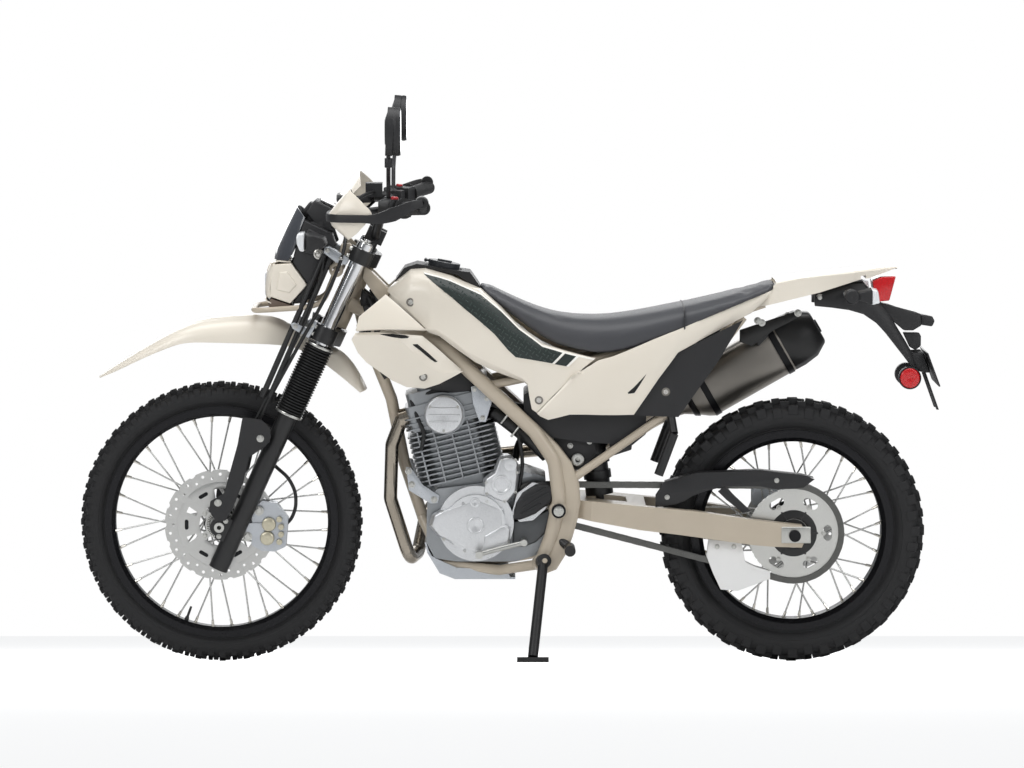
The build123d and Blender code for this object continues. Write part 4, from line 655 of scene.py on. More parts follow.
# Round head cap with its pressed steps, and cooling ribs that cross the fins.
bm = bmesh.new()
turned(bm, [(70, 47), (90, 46), (94, 42)], (-150, 0, 606), left, 64)
for z in (590, 606, 622):
    half = math.sqrt(38.0 ** 2 - (z - 606) ** 2)
    plate(bm, [(-150 - half, z - 2), (-150 + half, z - 2), (-150 + half, z + 2), (-150 - half, z + 2)],
          -93, -96.5, 0.8)
piece_from(bm, "head_cap", "chassis", [cover_alloy], bevel=1.2, segments=3)
barrel_lean = math.radians(14.0)
cylinder_run = Vector((-math.sin(barrel_lean), 0.0, math.cos(barrel_lean)))
fin_way = Vector((math.cos(barrel_lean), 0.0, math.sin(barrel_lean)))
bm = bmesh.new()
for share in (-78, -40, 2, 44):
    foot = Vector((-98.0, 0.0, 420.0)) + fin_way * share + cylinder_run * 34.0
    head = foot + cylinder_run * 132.0
    for side in (-1, 1):
        low = [foot - fin_way * 2.6 + Vector((0, side * 58, 0)),
               foot + fin_way * 2.6 + Vector((0, side * 58, 0)),
               foot + fin_way * 2.0 + Vector((0, side * 83, 0)),
               foot - fin_way * 2.0 + Vector((0, side * 83, 0))]
        solid_between(bm, low, [point + (head - foot) for point in low])
piece_from(bm, "barrel_ribs", "chassis", [case_alloy], bevel=0.8)

# Cap screws round each cover.
bm = bmesh.new()
for x, z in ((-152, 376), (-104, 398), (-48, 402), (-176, 346), (-150, 312), (-100, 285), (-46, 280),
             (2, 306)):
    add_cap_screw(bm, (x, -112, z), left, 4.2, 6)
for x, z in ((-50, 446), (-48, 420), (-6, 402), (20, 424), (24, 470), (-12, 500), (20, 500)):
    add_cap_screw(bm, (x, -105, z), left, 3.8, 6)
for turn in range(10):
    angle = math.radians(turn * 36.0 + 12.0)
    add_cap_screw(bm, (78 * math.cos(angle), 110, 360 + 78 * math.sin(angle)), right, 4.2, 6)
for turn in range(3):
    angle = math.radians(turn * 120.0 + 30.0)
    add_cap_screw(bm, (-150 + 38 * math.cos(angle), -93, 606 + 38 * math.sin(angle)), left, 3.4, 4)
piece_from(bm, "engine_screws", "chassis", [bolt_zinc])

# Pressed zinc-plated brackets hold the engine in the frame.


def twin_plates(bm, *slabs):
    """Slabs on both sides of the machine, each an outline, its inner and outer half width, and its taper."""
    for side in (-1, 1):
        for outline, near, far, taper in slabs:
            plate(bm, outline, side * near, side * far, taper)


bm = bmesh.new()
twin_plates(bm, ([(-86, 674), (-74, 677), (-34, 643), (-50, 589), (-66, 590), (-82, 636)], 97, 102, 0.8),
            ([(-240, 482), (-228, 480), (-200, 440), (-160, 412), (-164, 394), (-182, 394), (-234, 426)],
             90, 95, 0.8))
piece_from(bm, "engine_brackets", "chassis", [bracket_zinc], bevel=1.4)
bm = bmesh.new()
for side, out in sides:
    for x, z in ((-78, 668), (-48, 646), (-58, 600)):
        add_bolt(bm, (x, side * 102, z), out, 4.6, 5)
    for x, z in ((-234, 472), (-226, 440), (-173, 404)):
        add_bolt(bm, (x, side * 95, z), out, 6, 6)
piece_from(bm, "bracket_bolts", "chassis", [bolt_zinc], bevel=0.4)


def tube(bm, points, radius, steps=10):
    """A round cord through points, in straight runs with mitred bends and closed ends."""
    places = [Vector(point) for point in points]
    rings = []
    normal = None
    for number, place in enumerate(places):
        ahead = (places[min(number + 1, len(places) - 1)] - places[max(number - 1, 0)]).normalized()
        if normal is None:
            normal = ahead.orthogonal().normalized()
        normal = (normal - ahead * normal.dot(ahead)).normalized()
        side = ahead.cross(normal)
        rings.append([place + (normal * math.cos(2 * math.pi * k / steps)
                               + side * math.sin(2 * math.pi * k / steps))
                      * radius for k in range(steps)])
    closed_loft(bm, rings)


def curved(points, steps=8):
    """Points along a smooth curve through the ones given."""
    places = [Vector(point) for point in points]
    ends = [places[0] * 2 - places[1], *places, places[-1] * 2 - places[-2]]
    made = []
    for a, b, c, d in zip(ends, ends[1:], ends[2:], ends[3:]):
        for k in range(steps):
            t = k / steps
            made.append(0.5 * ((2 * b) + (c - a) * t + (2 * a - 5 * b + 4 * c - d) * t * t
                               + (3 * b - a - 3 * c + d) * t * t * t))
    return [*made, places[-1]]


# Intake duct, breather hoses and electrics: black rubber and polypropylene behind the barrel.
bm = bmesh.new()
tube(bm, curved([(-32, -60, 612), (10, -64, 580), (60, -66, 540), (96, -62, 505)], 6), 17, 20)
tube(bm, curved([(-60, -70, 640), (-10, -76, 620), (30, -70, 590), (58, -60, 575)], 6), 7, 12)
tube(bm, curved([(26, -90, 560), (34, -92, 520), (36, -88, 480), (30, -84, 440), (24, -80, 420)], 6), 4.5, 10)
tube(bm, curved([(-120, -60, 655), (-160, -66, 662), (-200, -60, 650), (-224, -40, 630)], 6), 6, 10)
tube(bm, curved([(-228, -60, 640), (-214, -74, 600), (-198, -84, 560), (-204, -80, 520)], 6), 5, 10)
tube(bm, curved([(60, 60, 560), (30, 70, 520), (20, 60, 480)], 6), 9, 12)
piece_from(bm, "engine_hoses", "chassis", [hose_rubber])
bm = bmesh.new()
plate(bm, [(112, 590), (206, 560), (214, 512), (176, 470), (128, 478), (110, 520)], -70, 60, 4)
plate(bm, [(236, 560), (300, 570), (296, 520), (250, 505)], -72, 50, 3)
plate(bm, [(-214, 700), (-150, 716), (-60, 700), (-50, 664), (-130, 656), (-210, 668)], -72, 72, 4)
piece_from(bm, "electrics_boxes", "chassis", [black_pp], bevel=3, segments=3)
bm = bmesh.new()
for x, z in ((-4, 598), (20, 566)):
    turned(bm, [(-17, 2.6), (17, 2.6)], (x, -84, z), (0.62, 0, 0.78), 12)
for x, z in ((130, 560), (150, 530), (170, 500), (196, 540)):
    add_bolt(bm, (x, -71, z), left, 5, 5)
lathe(bm, [(60, 6), (60, 15), (80, 15), (80, 6)], (168, 0, 497), left, 28)
piece_from(bm, "hose_clamps", "chassis", [bolt_zinc], bevel=0.4)

# ---------------------------------------------------------------- exhaust
# Stainless header, browned by heat, into a brushed oval muffler with a black end cap and guard.
# Heat turns bare stainless a warm straw brown; it stays smooth and bright.
header_steel = surface("heat_tinted_stainless", "#B3AB9F", "#8F8679", 0.20, 1.0, grain=700, relief=0.05)
paint(header_steel, "exhaust_header")


def brushed_steel(name, light, dark, roughness, turn):
    """Steel brushed along the can: fine lines 0.5 mm apart, as coarse as shows."""
    material, tree = blank_material(name)
    place = add_node(tree, "ShaderNodeTexCoord")
    drawn_out = (0.03, 1.0, 1.0)
    lengthwise = add_node(tree, "ShaderNodeMapping",
                          inputs={"Vector": (place, "Object"), "Rotation": turn, "Scale": drawn_out})
    lines = add_node(tree, "ShaderNodeTexNoise",
                     inputs={"Vector": (lengthwise, 0), "Scale": 1100.0, "Detail": 3.0})
    broad = add_node(tree, "ShaderNodeTexNoise",
                     inputs={"Vector": (place, "Object"), "Scale": 7.0, "Detail": 3.0})
    end_material(tree, (broad, 0), light, dark, (lines, 0), 0.12, 0.0003, Roughness=roughness, Metallic=0.95)
    return material


can_steel = brushed_steel("brushed_muffler_steel", "#8E8A84", "#74706A", 0.34, (0, math.radians(30), 0))
can_start, can_end = Vector((470.0, 152.0, 634.0)), Vector((752.0, 152.0, 796.0))
can_run = (can_end - can_start).normalized()
can_length = (can_end - can_start).length
can_up = Vector((-can_run.z, 0.0, can_run.x))
squareness = 0.62


def can_ring(place, half_height, half_width, count=40):
    """A rounded oval round the muffler's line, a distance along it."""
    ring = []
    for k in range(count):
        angle = 2 * math.pi * k / count
        wide, high = (math.copysign(abs(share) ** squareness, share)
                      for share in (math.cos(angle), math.sin(angle)))
        ring.append(can_start + can_run * place + Vector((0, 1, 0)) * (wide * half_width)
                    + can_up * (high * half_height))
    return ring


def can_body(bm, *stations):
    """A closed body along the muffler, through (place, half height, half width) stations."""
    closed_loft(bm, [can_ring(*station) for station in stations])


bm = bmesh.new()
can_body(bm, (-86, 20, 20), (-60, 26, 24), (-30, 44, 36), (-8, 60, 46), (0, 64, 48), (4, 66, 49),
         (can_length - 92, 66, 49), (can_length - 90, 65, 48))
piece_from(bm, "muffler_can", "chassis", [can_steel], ("muffler",), sharp=50)
bm = bmesh.new()
for start in (6, can_length - 116):
    end = start + 16
    can_body(bm, (start, 67, 50), (start, 68.2, 51.2), (end, 68.2, 51.2), (end, 67, 50))
can_body(bm, (-40, 40, 34), (-38, 43, 37), (-28, 49, 41), (-26, 47, 39))
piece_from(bm, "muffler_bands", "chassis", [black_steel], sharp=40)
bm = bmesh.new()
can_body(bm, *[(can_length - back, half_height, half_width, 16) for back, half_height, half_width in (
    (96, 67.5, 50.5), (70, 68, 51), (34, 63, 48), (4, 44, 36), (1, 38, 30))])
piece_from(bm, "muffler_end_cap", "chassis", [satin_black], bevel=1.6, sharp=24)
bm = bmesh.new()
turned(bm, [(0, 17), (7, 17), (7, 13), (1.5, 12)], can_start + can_run * (can_length - 4), can_run, 36)
piece_from(bm, "muffler_outlet", "chassis", [black_steel])
bm = bmesh.new()
plate(bm, [(560, 792), (690, 836), (700, 822), (640, 790), (590, 752), (560, 764)], 84, 92, 1)
plate(bm, [(590, 790), (626, 806), (630, 776), (606, 752)], 92, 112, 1)
piece_from(bm, "muffler_bracket", "chassis", [satin_black], bevel=1.2)
bm = bmesh.new()
for x, y, z, out in ((594, -66, 828, left), (690, -60, 846, left), (612, 60, 812, right),
                     (676, 92, 826, right), (742, -52, 882, left)):
    add_bolt(bm, (x, y, z), out, 6.5, 6, 1.5)
piece_from(bm, "tail_bolts", "chassis", [bolt_zinc], bevel=0.5)

# ---------------------------------------------------------------- chain
# A 520 roller chain: stamped steel plates, alternately inner and outer, on pins 15.875 mm apart.
# Oiled steel: dark grey, with a soft wet shine.
chain_steel = surface("oiled_chain_steel", "#6E6E6C", "#555553", 0.36, 0.9, grain=1200, relief=0.06)
chain_pitch = 15.875
chain_line = -70.0
output_shaft = (60.0, 402.0)
rear_teeth, front_teeth = 45, 14
rear_pitch_radius = chain_pitch / (2 * math.sin(math.pi / rear_teeth))
front_pitch_radius = chain_pitch / (2 * math.sin(math.pi / front_teeth))


def chain_path():
    """The loop of the pitch line, as closely spaced points in side view."""
    dx, dz = rear_axle[0] - output_shaft[0], rear_axle[2] - output_shaft[1]
    slope = math.atan2(dz, dx)
    lead = (rear_pitch_radius - front_pitch_radius) / math.hypot(dx, dz)
    swing = math.pi / 2 + lead
    path = []
    for (cx, cz), radius, start, stop in (
        (output_shaft, front_pitch_radius, slope + swing, slope + 2 * math.pi - swing),
        ((rear_axle[0], rear_axle[2]), rear_pitch_radius, slope - swing, slope + swing),
    ):
        for step in range(61):
            angle = start + (stop - start) * step / 60
            path.append((cx + radius * math.cos(angle), cz + radius * math.sin(angle)))
    return [*path, path[0]]


path = chain_path()
lengths = [0.0]
for (ax, az), (bx, bz) in zip(path, path[1:]):
    lengths.append(lengths[-1] + math.hypot(bx - ax, bz - az))
link_count = 2 * round(lengths[-1] / chain_pitch / 2)
step = lengths[-1] / link_count


def at_length(length):
    """The point that lies a length along the loop."""
    length %= lengths[-1]
    for (ax, az), (bx, bz), low, high in zip(path, path[1:], lengths, lengths[1:]):
        if length <= high:
            share = (length - low) / max(high - low, 1e-6)
            return ax + (bx - ax) * share, az + (bz - az) * share
    return path[0]


def placed_copies():
    """The node tree that puts a copy of a mesh at each point of another, at the point's own angles."""
    tree = bpy.data.node_groups.new("copies at points", "GeometryNodeTree")
    group_input(tree, "Points", "NodeSocketGeometry")
    keys = {
        "unit": group_input(tree, "Unit", "NodeSocketObject"),
        "finish": group_input(tree, "Finish", "NodeSocketMaterial"),
    }
    given = add_node(tree, "NodeGroupInput")
    unit = add_node(tree, "GeometryNodeObjectInfo", {"transform_space": "ORIGINAL"},
                    {"Object": (given, "Unit")})
    turn = add_node(tree, "GeometryNodeInputNamedAttribute", {"data_type": "FLOAT_VECTOR"}, {"Name": "turn"})
    placed = add_node(tree, "GeometryNodeInstanceOnPoints", inputs={
        "Points": (given, "Points"), "Instance": (unit, "Geometry"), "Rotation": (turn, 0)})
    give_copies(tree, given, placed)
    return tree, keys


point_copies, point_keys = placed_copies()


def copies_at(unit_bm, points, turns, material):
    """One drawn mesh copied to points, with a Euler turn for each."""
    unit = add_object("unit", drawn(unit_bm, "unit"))
    mesh = bpy.data.meshes.new("points")
    mesh.from_pydata([tuple(point) for point in points], [], [])
    held = mesh.attributes.new("turn", "FLOAT_VECTOR", "POINT")
    for item, turn in zip(held.data, turns):
        item.vector = tuple(turn)
    result = evaluated(mesh, point_copies, {point_keys["unit"]: unit, point_keys["finish"]: material})
    bpy.data.objects.remove(unit)
    return result


def link_unit(offset):
    """Two waisted plates, centred, lying along X; the caller adds the pins or rollers."""
    plate_half, plate_thickness = 7.2, 1.7
    bm = bmesh.new()
    for side in (-1, 1):
        outline = []
        for centre, first in ((step / 2, -90), (-step / 2, 90)):
            for k in range(5):
                angle = math.radians(first + 45 * k)
                outline.append((centre + plate_half * math.cos(angle), plate_half * math.sin(angle)))
        solid_between(bm, *[[(x, side * y, z) for x, z in outline]
                            for y in (offset, offset + plate_thickness)])
    return bm


for word, parity, offset in (("inner", 0, 3.6), ("outer", 1, 5.5)):
    points, turns = [], []
    for link in range(parity, link_count, 2):
        a, b = at_length(link * step), at_length((link + 1) * step)
        points.append(((a[0] + b[0]) / 2, chain_line, (a[1] + b[1]) / 2))
        turns.append((0.0, -math.atan2(b[1] - a[1], b[0] - a[0]), 0.0))
    unit = link_unit(offset)
    for centre in (-step / 2, step / 2):
        if word == "outer":
            turned(unit, [(-7.9, 2.6), (7.9, 2.6)], (centre, 0, 0), across, 8)
        else:
            lathe(unit, [(-3.6, 2.7), (-3.6, 5.08), (3.6, 5.08), (3.6, 2.7)], (centre, 0, 0), across, 10)
    tidy(unit)
    settle(copies_at(unit, points, turns, chain_steel), f"chain_{word}_links", "chassis", (),
           ("chain",))

# The guard over the chain is moulded black, the guide below it is a milky polypropylene.
# Uncoloured polypropylene is a cloudy white with a waxy shine.
guide_white = surface("milky_polypropylene", "#EDEDEC", "#E2E2E1", 0.42, grain=1200, relief=0.08)
bm = bmesh.new()
plate(bm, [(352, 386), (352, 416), (372, 446), (450, 468), (600, 474), (700, 463), (731, 453), (704, 432),
           (640, 428), (600, 436), (520, 436), (470, 424), (440, 412), (420, 400), (400, 392)], -96, -91, 1)
plate(bm, [(374, 446), (450, 468), (600, 474), (700, 463), (729, 455), (700, 459), (600, 470), (452, 464),
           (376, 440)], -92, -58, 0)
plate(bm, [(500, 424), (516, 436), (536, 418), (580, 376), (560, 372), (520, 404)], -96, -91, 1)
piece_from(bm, "chain_guard", "chassis", [black_pp], ("chain_guards",), bevel=1.4)
bm = bmesh.new()
for inner, outer in ((-84, -80.4), (-60, -57)):
    plate(bm, [(475, 266), (490, 226), (509, 186), (550, 183), (627, 212), (627, 231), (590, 242), (568, 253),
               (558, 300), (480, 306)], inner, outer, 1)
plate(bm, [(509, 186), (550, 183), (627, 212), (627, 222), (550, 196), (509, 198)], -81, -59, 0)
piece_from(bm, "chain_guide", "chassis", [guide_white], ("chain_guards",), bevel=1.2)
bm = bmesh.new()
for x, y, z in ((380, -96, 410), (640, -96, 450), (500, -84, 290), (540, -84, 290)):
    add_bolt(bm, (x, y, z), left, 4.5, 4.5)
piece_from(bm, "chain_guard_bolts", "chassis", [bolt_zinc], bevel=0.4)

# ---------------------------------------------------------------- fuel tank
# A pressed steel tank under gloss sand panels of injection-moulded ABS, one each side, folded in along their
# lower edge. Each panel carries a printed tread-plate film with a white pinstripe, and shouldered screws.


def along(table, value):
    """A height or width read off a table of (place, size) rows."""
    if value <= table[0][0]:
        return table[0][1]
    for (a, size_a), (b, size_b) in zip(table, table[1:]):
        if value <= b:
            return size_a + (size_b - size_a) * (value - a) / (b - a)
    return table[-1][1]


def skin(bm, rows):
    """A sheet through rows of (x, half width, z) on each side of the machine, facing outward."""
    for side in (-1, 1):
        sheet = bmesh.new()
        grid = [[sheet.verts.new((x, side * y, z)) for x, y, z in row] for row in rows]
        for here, there in zip(grid, grid[1:]):
            for k in range(len(here) - 1):
                sheet.faces.new((here[k], here[k + 1], there[k + 1], there[k]))
        bmesh.ops.remove_doubles(sheet, verts=sheet.verts, dist=0.01)
        bmesh.ops.recalc_face_normals(sheet, faces=sheet.faces)
        if sum(face.normal.y * face.calc_area() for face in sheet.faces) * side < 0:
            bmesh.ops.reverse_faces(sheet, faces=sheet.faces)
        mesh = drawn(sheet, "sheet")
        bm.from_mesh(mesh)
        bpy.data.meshes.remove(mesh)


def dressed(bm, *modifiers):
    """The plain mesh that a drawn one becomes under modifiers, each a kind and its settings."""
    holder = add_object("dressed", drawn(bm, "dressed"))
    for kind, settings in modifiers:
        modifier = holder.modifiers.new(kind.lower(), kind)
        for key, value in settings.items():
            setattr(modifier, key, value)
    result = plain(holder)
    bpy.data.objects.remove(holder)
    return result


def wall(thickness, offset=-1.0):
    """Gives a skin its thickness, inward unless the offset says otherwise."""
    return "SOLIDIFY", {"thickness": thickness, "offset": offset, "use_even_offset": True}


def rounded(width, segments=2, limit=30.0):
    """Rounds the edges that are sharper than the limit."""
    return "BEVEL", {"width": width, "segments": segments, "limit_method": "ANGLE",
                     "angle_limit": math.radians(limit)}


def smoother(levels):
    """Subdivides a coarse body into a smooth one."""
    return "SUBSURF", {"levels": levels, "render_levels": levels, "boundary_smooth": "PRESERVE_CORNERS"}


def shade(mesh, sharp=30.0):
    """Smooth faces that break at the sharp edges."""
    bm = bmesh.new()
    bm.from_mesh(mesh)
    for face in bm.faces:
        face.smooth = True
    for edge in bm.edges:
        edge.smooth = not edge.is_manifold or edge.calc_face_angle(0.0) < math.radians(sharp)
    bm.to_mesh(mesh)
    bm.free()
    return mesh


def between(start, end, steps):
    """Evenly spaced points from one to another."""
    return [tuple(a + (b - a) * k / steps for a, b in zip(start, end)) for k in range(steps + 1)]


def section_ring(x, top, low, half, section, grow=0.0):
    """A ring across the machine: shares of the half width, and of the height down from the top."""
    halves = [(share * (half + grow), top + grow - down * (top - low)) for share, down in section]
    return [(x, -y, z) for y, z in halves] + [(x, y, z) for y, z in reversed(halves[1:-1])]


def denser(ribs, steps):
    """The same ribs with more of them in between, so that a panel follows its flank closely."""
    filled = []
    for here, there in zip(ribs, ribs[1:]):
        for k in range(steps):
            filled.append(tuple(between(a, b, steps)[k] for a, b in zip(here, there)))
    return [*filled, ribs[-1]]


# Gloss moulded ABS, coloured through: a smooth sand plastic with a soft shine.
sand_abs = surface("sand_gloss_abs", "#E6DFD2", "#DFD7C9", 0.32, grain=900, relief=0.004, coat=0.2,
                   spread=0.02)
paint(sand_abs, "rear_fender")

TANK_STATIONS = [
    (-286, 884, 868, 74), (-262, 908, 852, 96), (-240, 928, 832, 108), (-199, 938, 812, 116),
    (-136, 932, 792, 120), (-60, 888, 748, 120), (20, 816, 708, 116), (87, 764, 694, 110),
    (130, 752, 738, 100),
]
TANK_SECTION = [(0, 0), (0.45, 0.01), (0.75, 0.06), (0.92, 0.20), (1, 0.45), (0.98, 0.75), (0.86, 0.94),
                (0.6, 1), (0, 1)]
bm = bmesh.new()
closed_loft(bm, [section_ring(*station, TANK_SECTION) for station in TANK_STATIONS])
bmesh.ops.recalc_face_normals(bm, faces=bm.faces)
settle(shade(dressed(bm, smoother(1)), 60), "tank_shell", "chassis", [sand_abs],
       ("fuel_tank",))

# The side of the tank: (x, z) along its top edge, then the fold and the lower edge of the same rib.
TANK_RIBS = [
    ((-284, 898), (-283, 897), (-282, 895)), ((-258, 921), (-229, 853), (-226, 849)),
    ((-228, 945), (-190, 814), (-187, 806)), ((-194, 947), (-168, 814), (-160, 797)),
    ((-134, 930), (-138, 795), (-122, 768)), ((-98, 914), (-100, 763), (-75, 735)),
    ((-62, 899), (-62, 745), (-48, 722)), ((-15, 861), (-20, 724), (-15, 708)),
    ((28, 818), (16, 706), (22, 694)), ((60, 795), (36, 697), (40, 687)),
    ((83, 777), (48, 685), (49, 679)), ((110, 769), (52, 655), (53, 652)),
    ((140, 760), (58, 624), (59, 621)), ((168, 753), (70, 615), (72, 612)),
    ((192, 747), (109, 656), (110, 655)), ((208, 744), (160, 706), (161, 705)),
]
TANK_PLAN = [(-290, 92), (-262, 112), (-240, 126), (-180, 144), (-20, 144), (60, 140), (140, 140), (220, 141)]
TANK_ROLL = [(0, 30), (8, 18), (20, 8), (36, 2), (50, 0)]


def tank_flank(x, z):
    """Half width of the tank's side, rolled in towards its top."""
    roll = along(TANK_ROLL, along([rib[0] for rib in TANK_RIBS], x) - z) * along([(-60, 1), (30, 0.35)], x)
    lower = along([(600, 16), (680, 8), (760, 2), (800, 0)], z) * along([(-100, 0.3), (60, 1)], x)
    return along(TANK_PLAN, x) - roll - lower


rows = []
for top, fold, edge in denser(TANK_RIBS, 4):
    cover_edge = along([(-60, 50), (-20, 84), (60, 104), (215, 120)], top[0])
    row = [(top[0], cover_edge, top[1] + along([(-60, 5), (30, 1)], top[0]))]
    row += [(x, tank_flank(x, z), z) for x, z in between(top, fold, 18)]
    row.append((edge[0], tank_flank(*fold) - 13.0, edge[1]))
    rows.append(row)
bm = bmesh.new()
skin(bm, rows)
settle(shade(dressed(bm, wall(3.2), rounded(1.3, 2, 38)), 34), "tank_panels", "chassis",
       [sand_abs])

# The film lies on the panel: a dark green-black print with raised bars, edged in white along its top.
FILM_RIBS = [
    ((-197, 944), (-190, 938)), ((-159, 934), (-159, 912)), ((-134, 926), (-130, 889)),
    ((-98, 910), (-98, 861)), ((-62, 894), (-64, 833)), ((-15, 856), (-31, 804)), ((28, 814), (2, 765)),
    ((60, 791), (20, 748)), ((83, 773), (44, 744)), ((110, 765), (84, 737)), ((132, 759), (106, 733)),
]
STRIPE_RIBS = [
    ((-196, 947), (-197, 944)), ((-159, 937), (-159, 934)), ((-134, 929), (-134, 926)),
    ((-98, 913), (-98, 910)), ((-62, 898), (-62, 894)), ((-15, 860), (-15, 856)), ((28, 817), (28, 813)),
    ((60, 794), (60, 790)), ((83, 776), (83, 772)), ((110, 768), (110, 764)), ((140, 759), (140, 755)),
    ((168, 752), (168, 748)), ((205, 743), (205, 740)),
]
STRIPE_BARS = [
    (((132, 759), (106, 733)), ((138, 758), (112, 732))),
    (((165, 752), (139, 726)), ((171, 750), (145, 725))),
]
CELL_RIBS = [((138, 757), (112, 731)), ((165, 751), (139, 726))]
# Matt vinyl print, dark green-black, under bars that are a shade lighter and a little shinier; the stripe is
# plain white ink.
film = surface("printed_film_green_black", "#26302D", "#1E2725", 0.42, grain=1500, relief=0.10)
film_bar = surface("printed_film_bars", "#3F4B48", "#36423F", 0.34, grain=1500, relief=0.05)
stripe_white = surface("printed_stripe_white", "#F4F2EC", "#EFEDE6", 0.35, grain=1500, relief=0.02)


def film_mesh(ribs, lift):
    """A film on the tank's flank, lifted off the panel that it is stuck to."""
    bm = bmesh.new()
    lines = [[(x, tank_flank(x, z) + lift, z) for x, z in between(top, low, 10)]
             for top, low in denser(ribs, 5)]
    skin(bm, lines)
    return shade(dressed(bm, wall(0.4)))


settle(film_mesh(FILM_RIBS, 0.9), "tread_film", "chassis", [film])
settle(film_mesh(CELL_RIBS, 0.9), "tread_film_end", "chassis", [film])
settle(film_mesh(STRIPE_RIBS, 1.2), "film_pinstripe", "chassis", [stripe_white])
for number, bar in enumerate(STRIPE_BARS):
    settle(film_mesh(bar, 1.3), f"film_divider_{number + 1}", "chassis", [stripe_white])


def inside(outline, x, z):
    """True where a point lies inside an (x, z) outline."""
    hit = False
    for (ax, az), (bx, bz) in zip(outline, outline[1:] + outline[:1]):
        if (az > z) != (bz > z) and x < ax + (bx - ax) * (z - az) / (bz - az):
            hit = not hit
    return hit


# The bars lie in a basket weave on a grid turned by some 35 degrees, 11 mm apart.
bar_length, bar_width, bar_pitch = 10.5, 2.4, 11.0
grid_cos, grid_sin = 0.82, 0.57
bar_tilts = (-35, 55)
film_outline = [rib[0] for rib in FILM_RIBS] + [rib[1] for rib in reversed(FILM_RIBS)]
points, turns = [], []
for row in range(-30, 60):
    for column in range(-30, 60):
        x = -200 + (column * grid_cos + row * grid_sin) * bar_pitch
        z = 940 + (-column * grid_sin + row * grid_cos) * bar_pitch
        tilt = math.radians(bar_tilts[(row + column) % 2])
        reach = (math.cos(tilt) * bar_length / 2, math.sin(tilt) * bar_length / 2)
        if all(inside(film_outline, x + sign * reach[0] * 1.1, z + sign * reach[1] * 1.1)
               for sign in (-1, 1)):
            for side in (-1, 1):
                points.append((x, side * (tank_flank(x, z) + 1.0), z))
                turns.append((0.0, -tilt, 0.0))
bm = bmesh.new()
half, shoulder, width = bar_length / 2, bar_length / 2 * 0.6, bar_width / 2
solid_between(bm, *[[(-half, y, 0), (-shoulder, y, -width), (shoulder, y, -width), (half, y, 0),
                     (shoulder, y, width), (-shoulder, y, width)] for y in (-0.8, 0.8)])
tidy(bm)
settle(copies_at(bm, points, turns, film_bar), "tread_film_bars", "chassis", ())

# Shouldered screws: a dull grey rubber ring round a bright polished round head.
screw_ring = surface("grey_rubber_grommet", "#77736C", "#6B6861", 0.55, grain=1400, relief=0.08)
screw_head = surface("stainless_button_head", "#D2D0CB", "#C2C0BB", 0.26, 0.9, grain=1500, relief=0.03)


def panel_screws(name, places):
    """Screws in a panel, on both sides; a place is (x, half width, z)."""
    rings, heads = bmesh.new(), bmesh.new()
    for x, y, z in places:
        for out in (left, right):
            centre = (x, 0.0, z)
            lathe(rings, [(y - 3, 6.2), (y - 3, 10), (y + 1.2, 10), (y + 2, 9), (y + 2, 6.2)],
                  centre, out, 28)
            turned(heads, [(y - 3, 6.2), (y + 1.6, 6.2), (y + 2.8, 4.4), (y + 2.8, 2.4),
                           (y + 1.2, 2.2)], centre, out, 20)
    piece_from(rings, name + "_rings", "chassis", [screw_ring])
    piece_from(heads, name, "chassis", [screw_head])


panel_screws("tank_screws", [(-228, tank_flank(-228, 877), 877), (75, tank_flank(75, 645), 645)])

# ---------------------------------------------------------------- radiator shrouds
# Two-piece ABS scoops bolted to the tank: an upper flare above a bright crease, and a lower shield with two
# cooling slots, which narrows downward so that its face turns away from the light.
UPPER_SHROUD = [
    ((-348, 847), (-355, 815)), ((-317, 871), (-330, 817)), ((-286, 896), (-290, 818)),
    ((-257, 872), (-245, 817)), ((-229, 848), (-216, 816)), ((-193, 817), (-192, 815)),
]
LOWER_SHROUD = [
    ((-356, 809), (-360, 803), (-365, 793)), ((-345, 810), (-346, 803), (-351, 762)),
    ((-325, 810), (-325, 804), (-331, 738)), ((-299, 810), (-296, 804), (-300, 715)),
    ((-265, 806), (-268, 797), (-271, 693)), ((-232, 803), (-244, 784), (-237, 676)),
    ((-200, 799), (-217, 756), (-194, 672)), ((-170, 773), (-186, 724), (-160, 683)),
    ((-140, 745), (-152, 708), (-130, 699)), ((-109, 718), (-110, 714), (-105, 713)),
]
SHROUD_BREADTH = [(660, 142), (700, 160), (740, 174), (790, 186), (806, 188), (818, 189), (850, 172),
                  (900, 142)]


def shroud_flank(x, z):
    """Half width of a shroud, which spreads towards its front."""
    spread, front = 0.115, -372.0
    return along(SHROUD_BREADTH, z) - spread * (x - front)


rows = [[(x, shroud_flank(x, z), z) for x, z in between(top, low, 5)] for top, low in denser(UPPER_SHROUD, 3)]
for row in rows:
    row.append((row[-1][0] + 2.0, row[-1][1] - 9.0, row[-1][2] - 3.0))
bm = bmesh.new()
skin(bm, rows)
settle(shade(dressed(bm, wall(3.2), rounded(1.4, 2, 38))), "shroud_flares", "chassis",
       [sand_abs], ("shrouds",))


def shield_flank(x, z):
    """Half width of the lower shield: full at its crease, and drawn in above and below it."""
    crease = along([rib[1] for rib in LOWER_SHROUD], x)
    top = along([rib[0] for rib in LOWER_SHROUD], x)
    inset, turn_in = 2.0, 8.0
    if z <= crease:
        return shroud_flank(x, z) - inset
    return shroud_flank(x, crease) - inset - turn_in * (z - crease) / max(top - crease, 4.0)


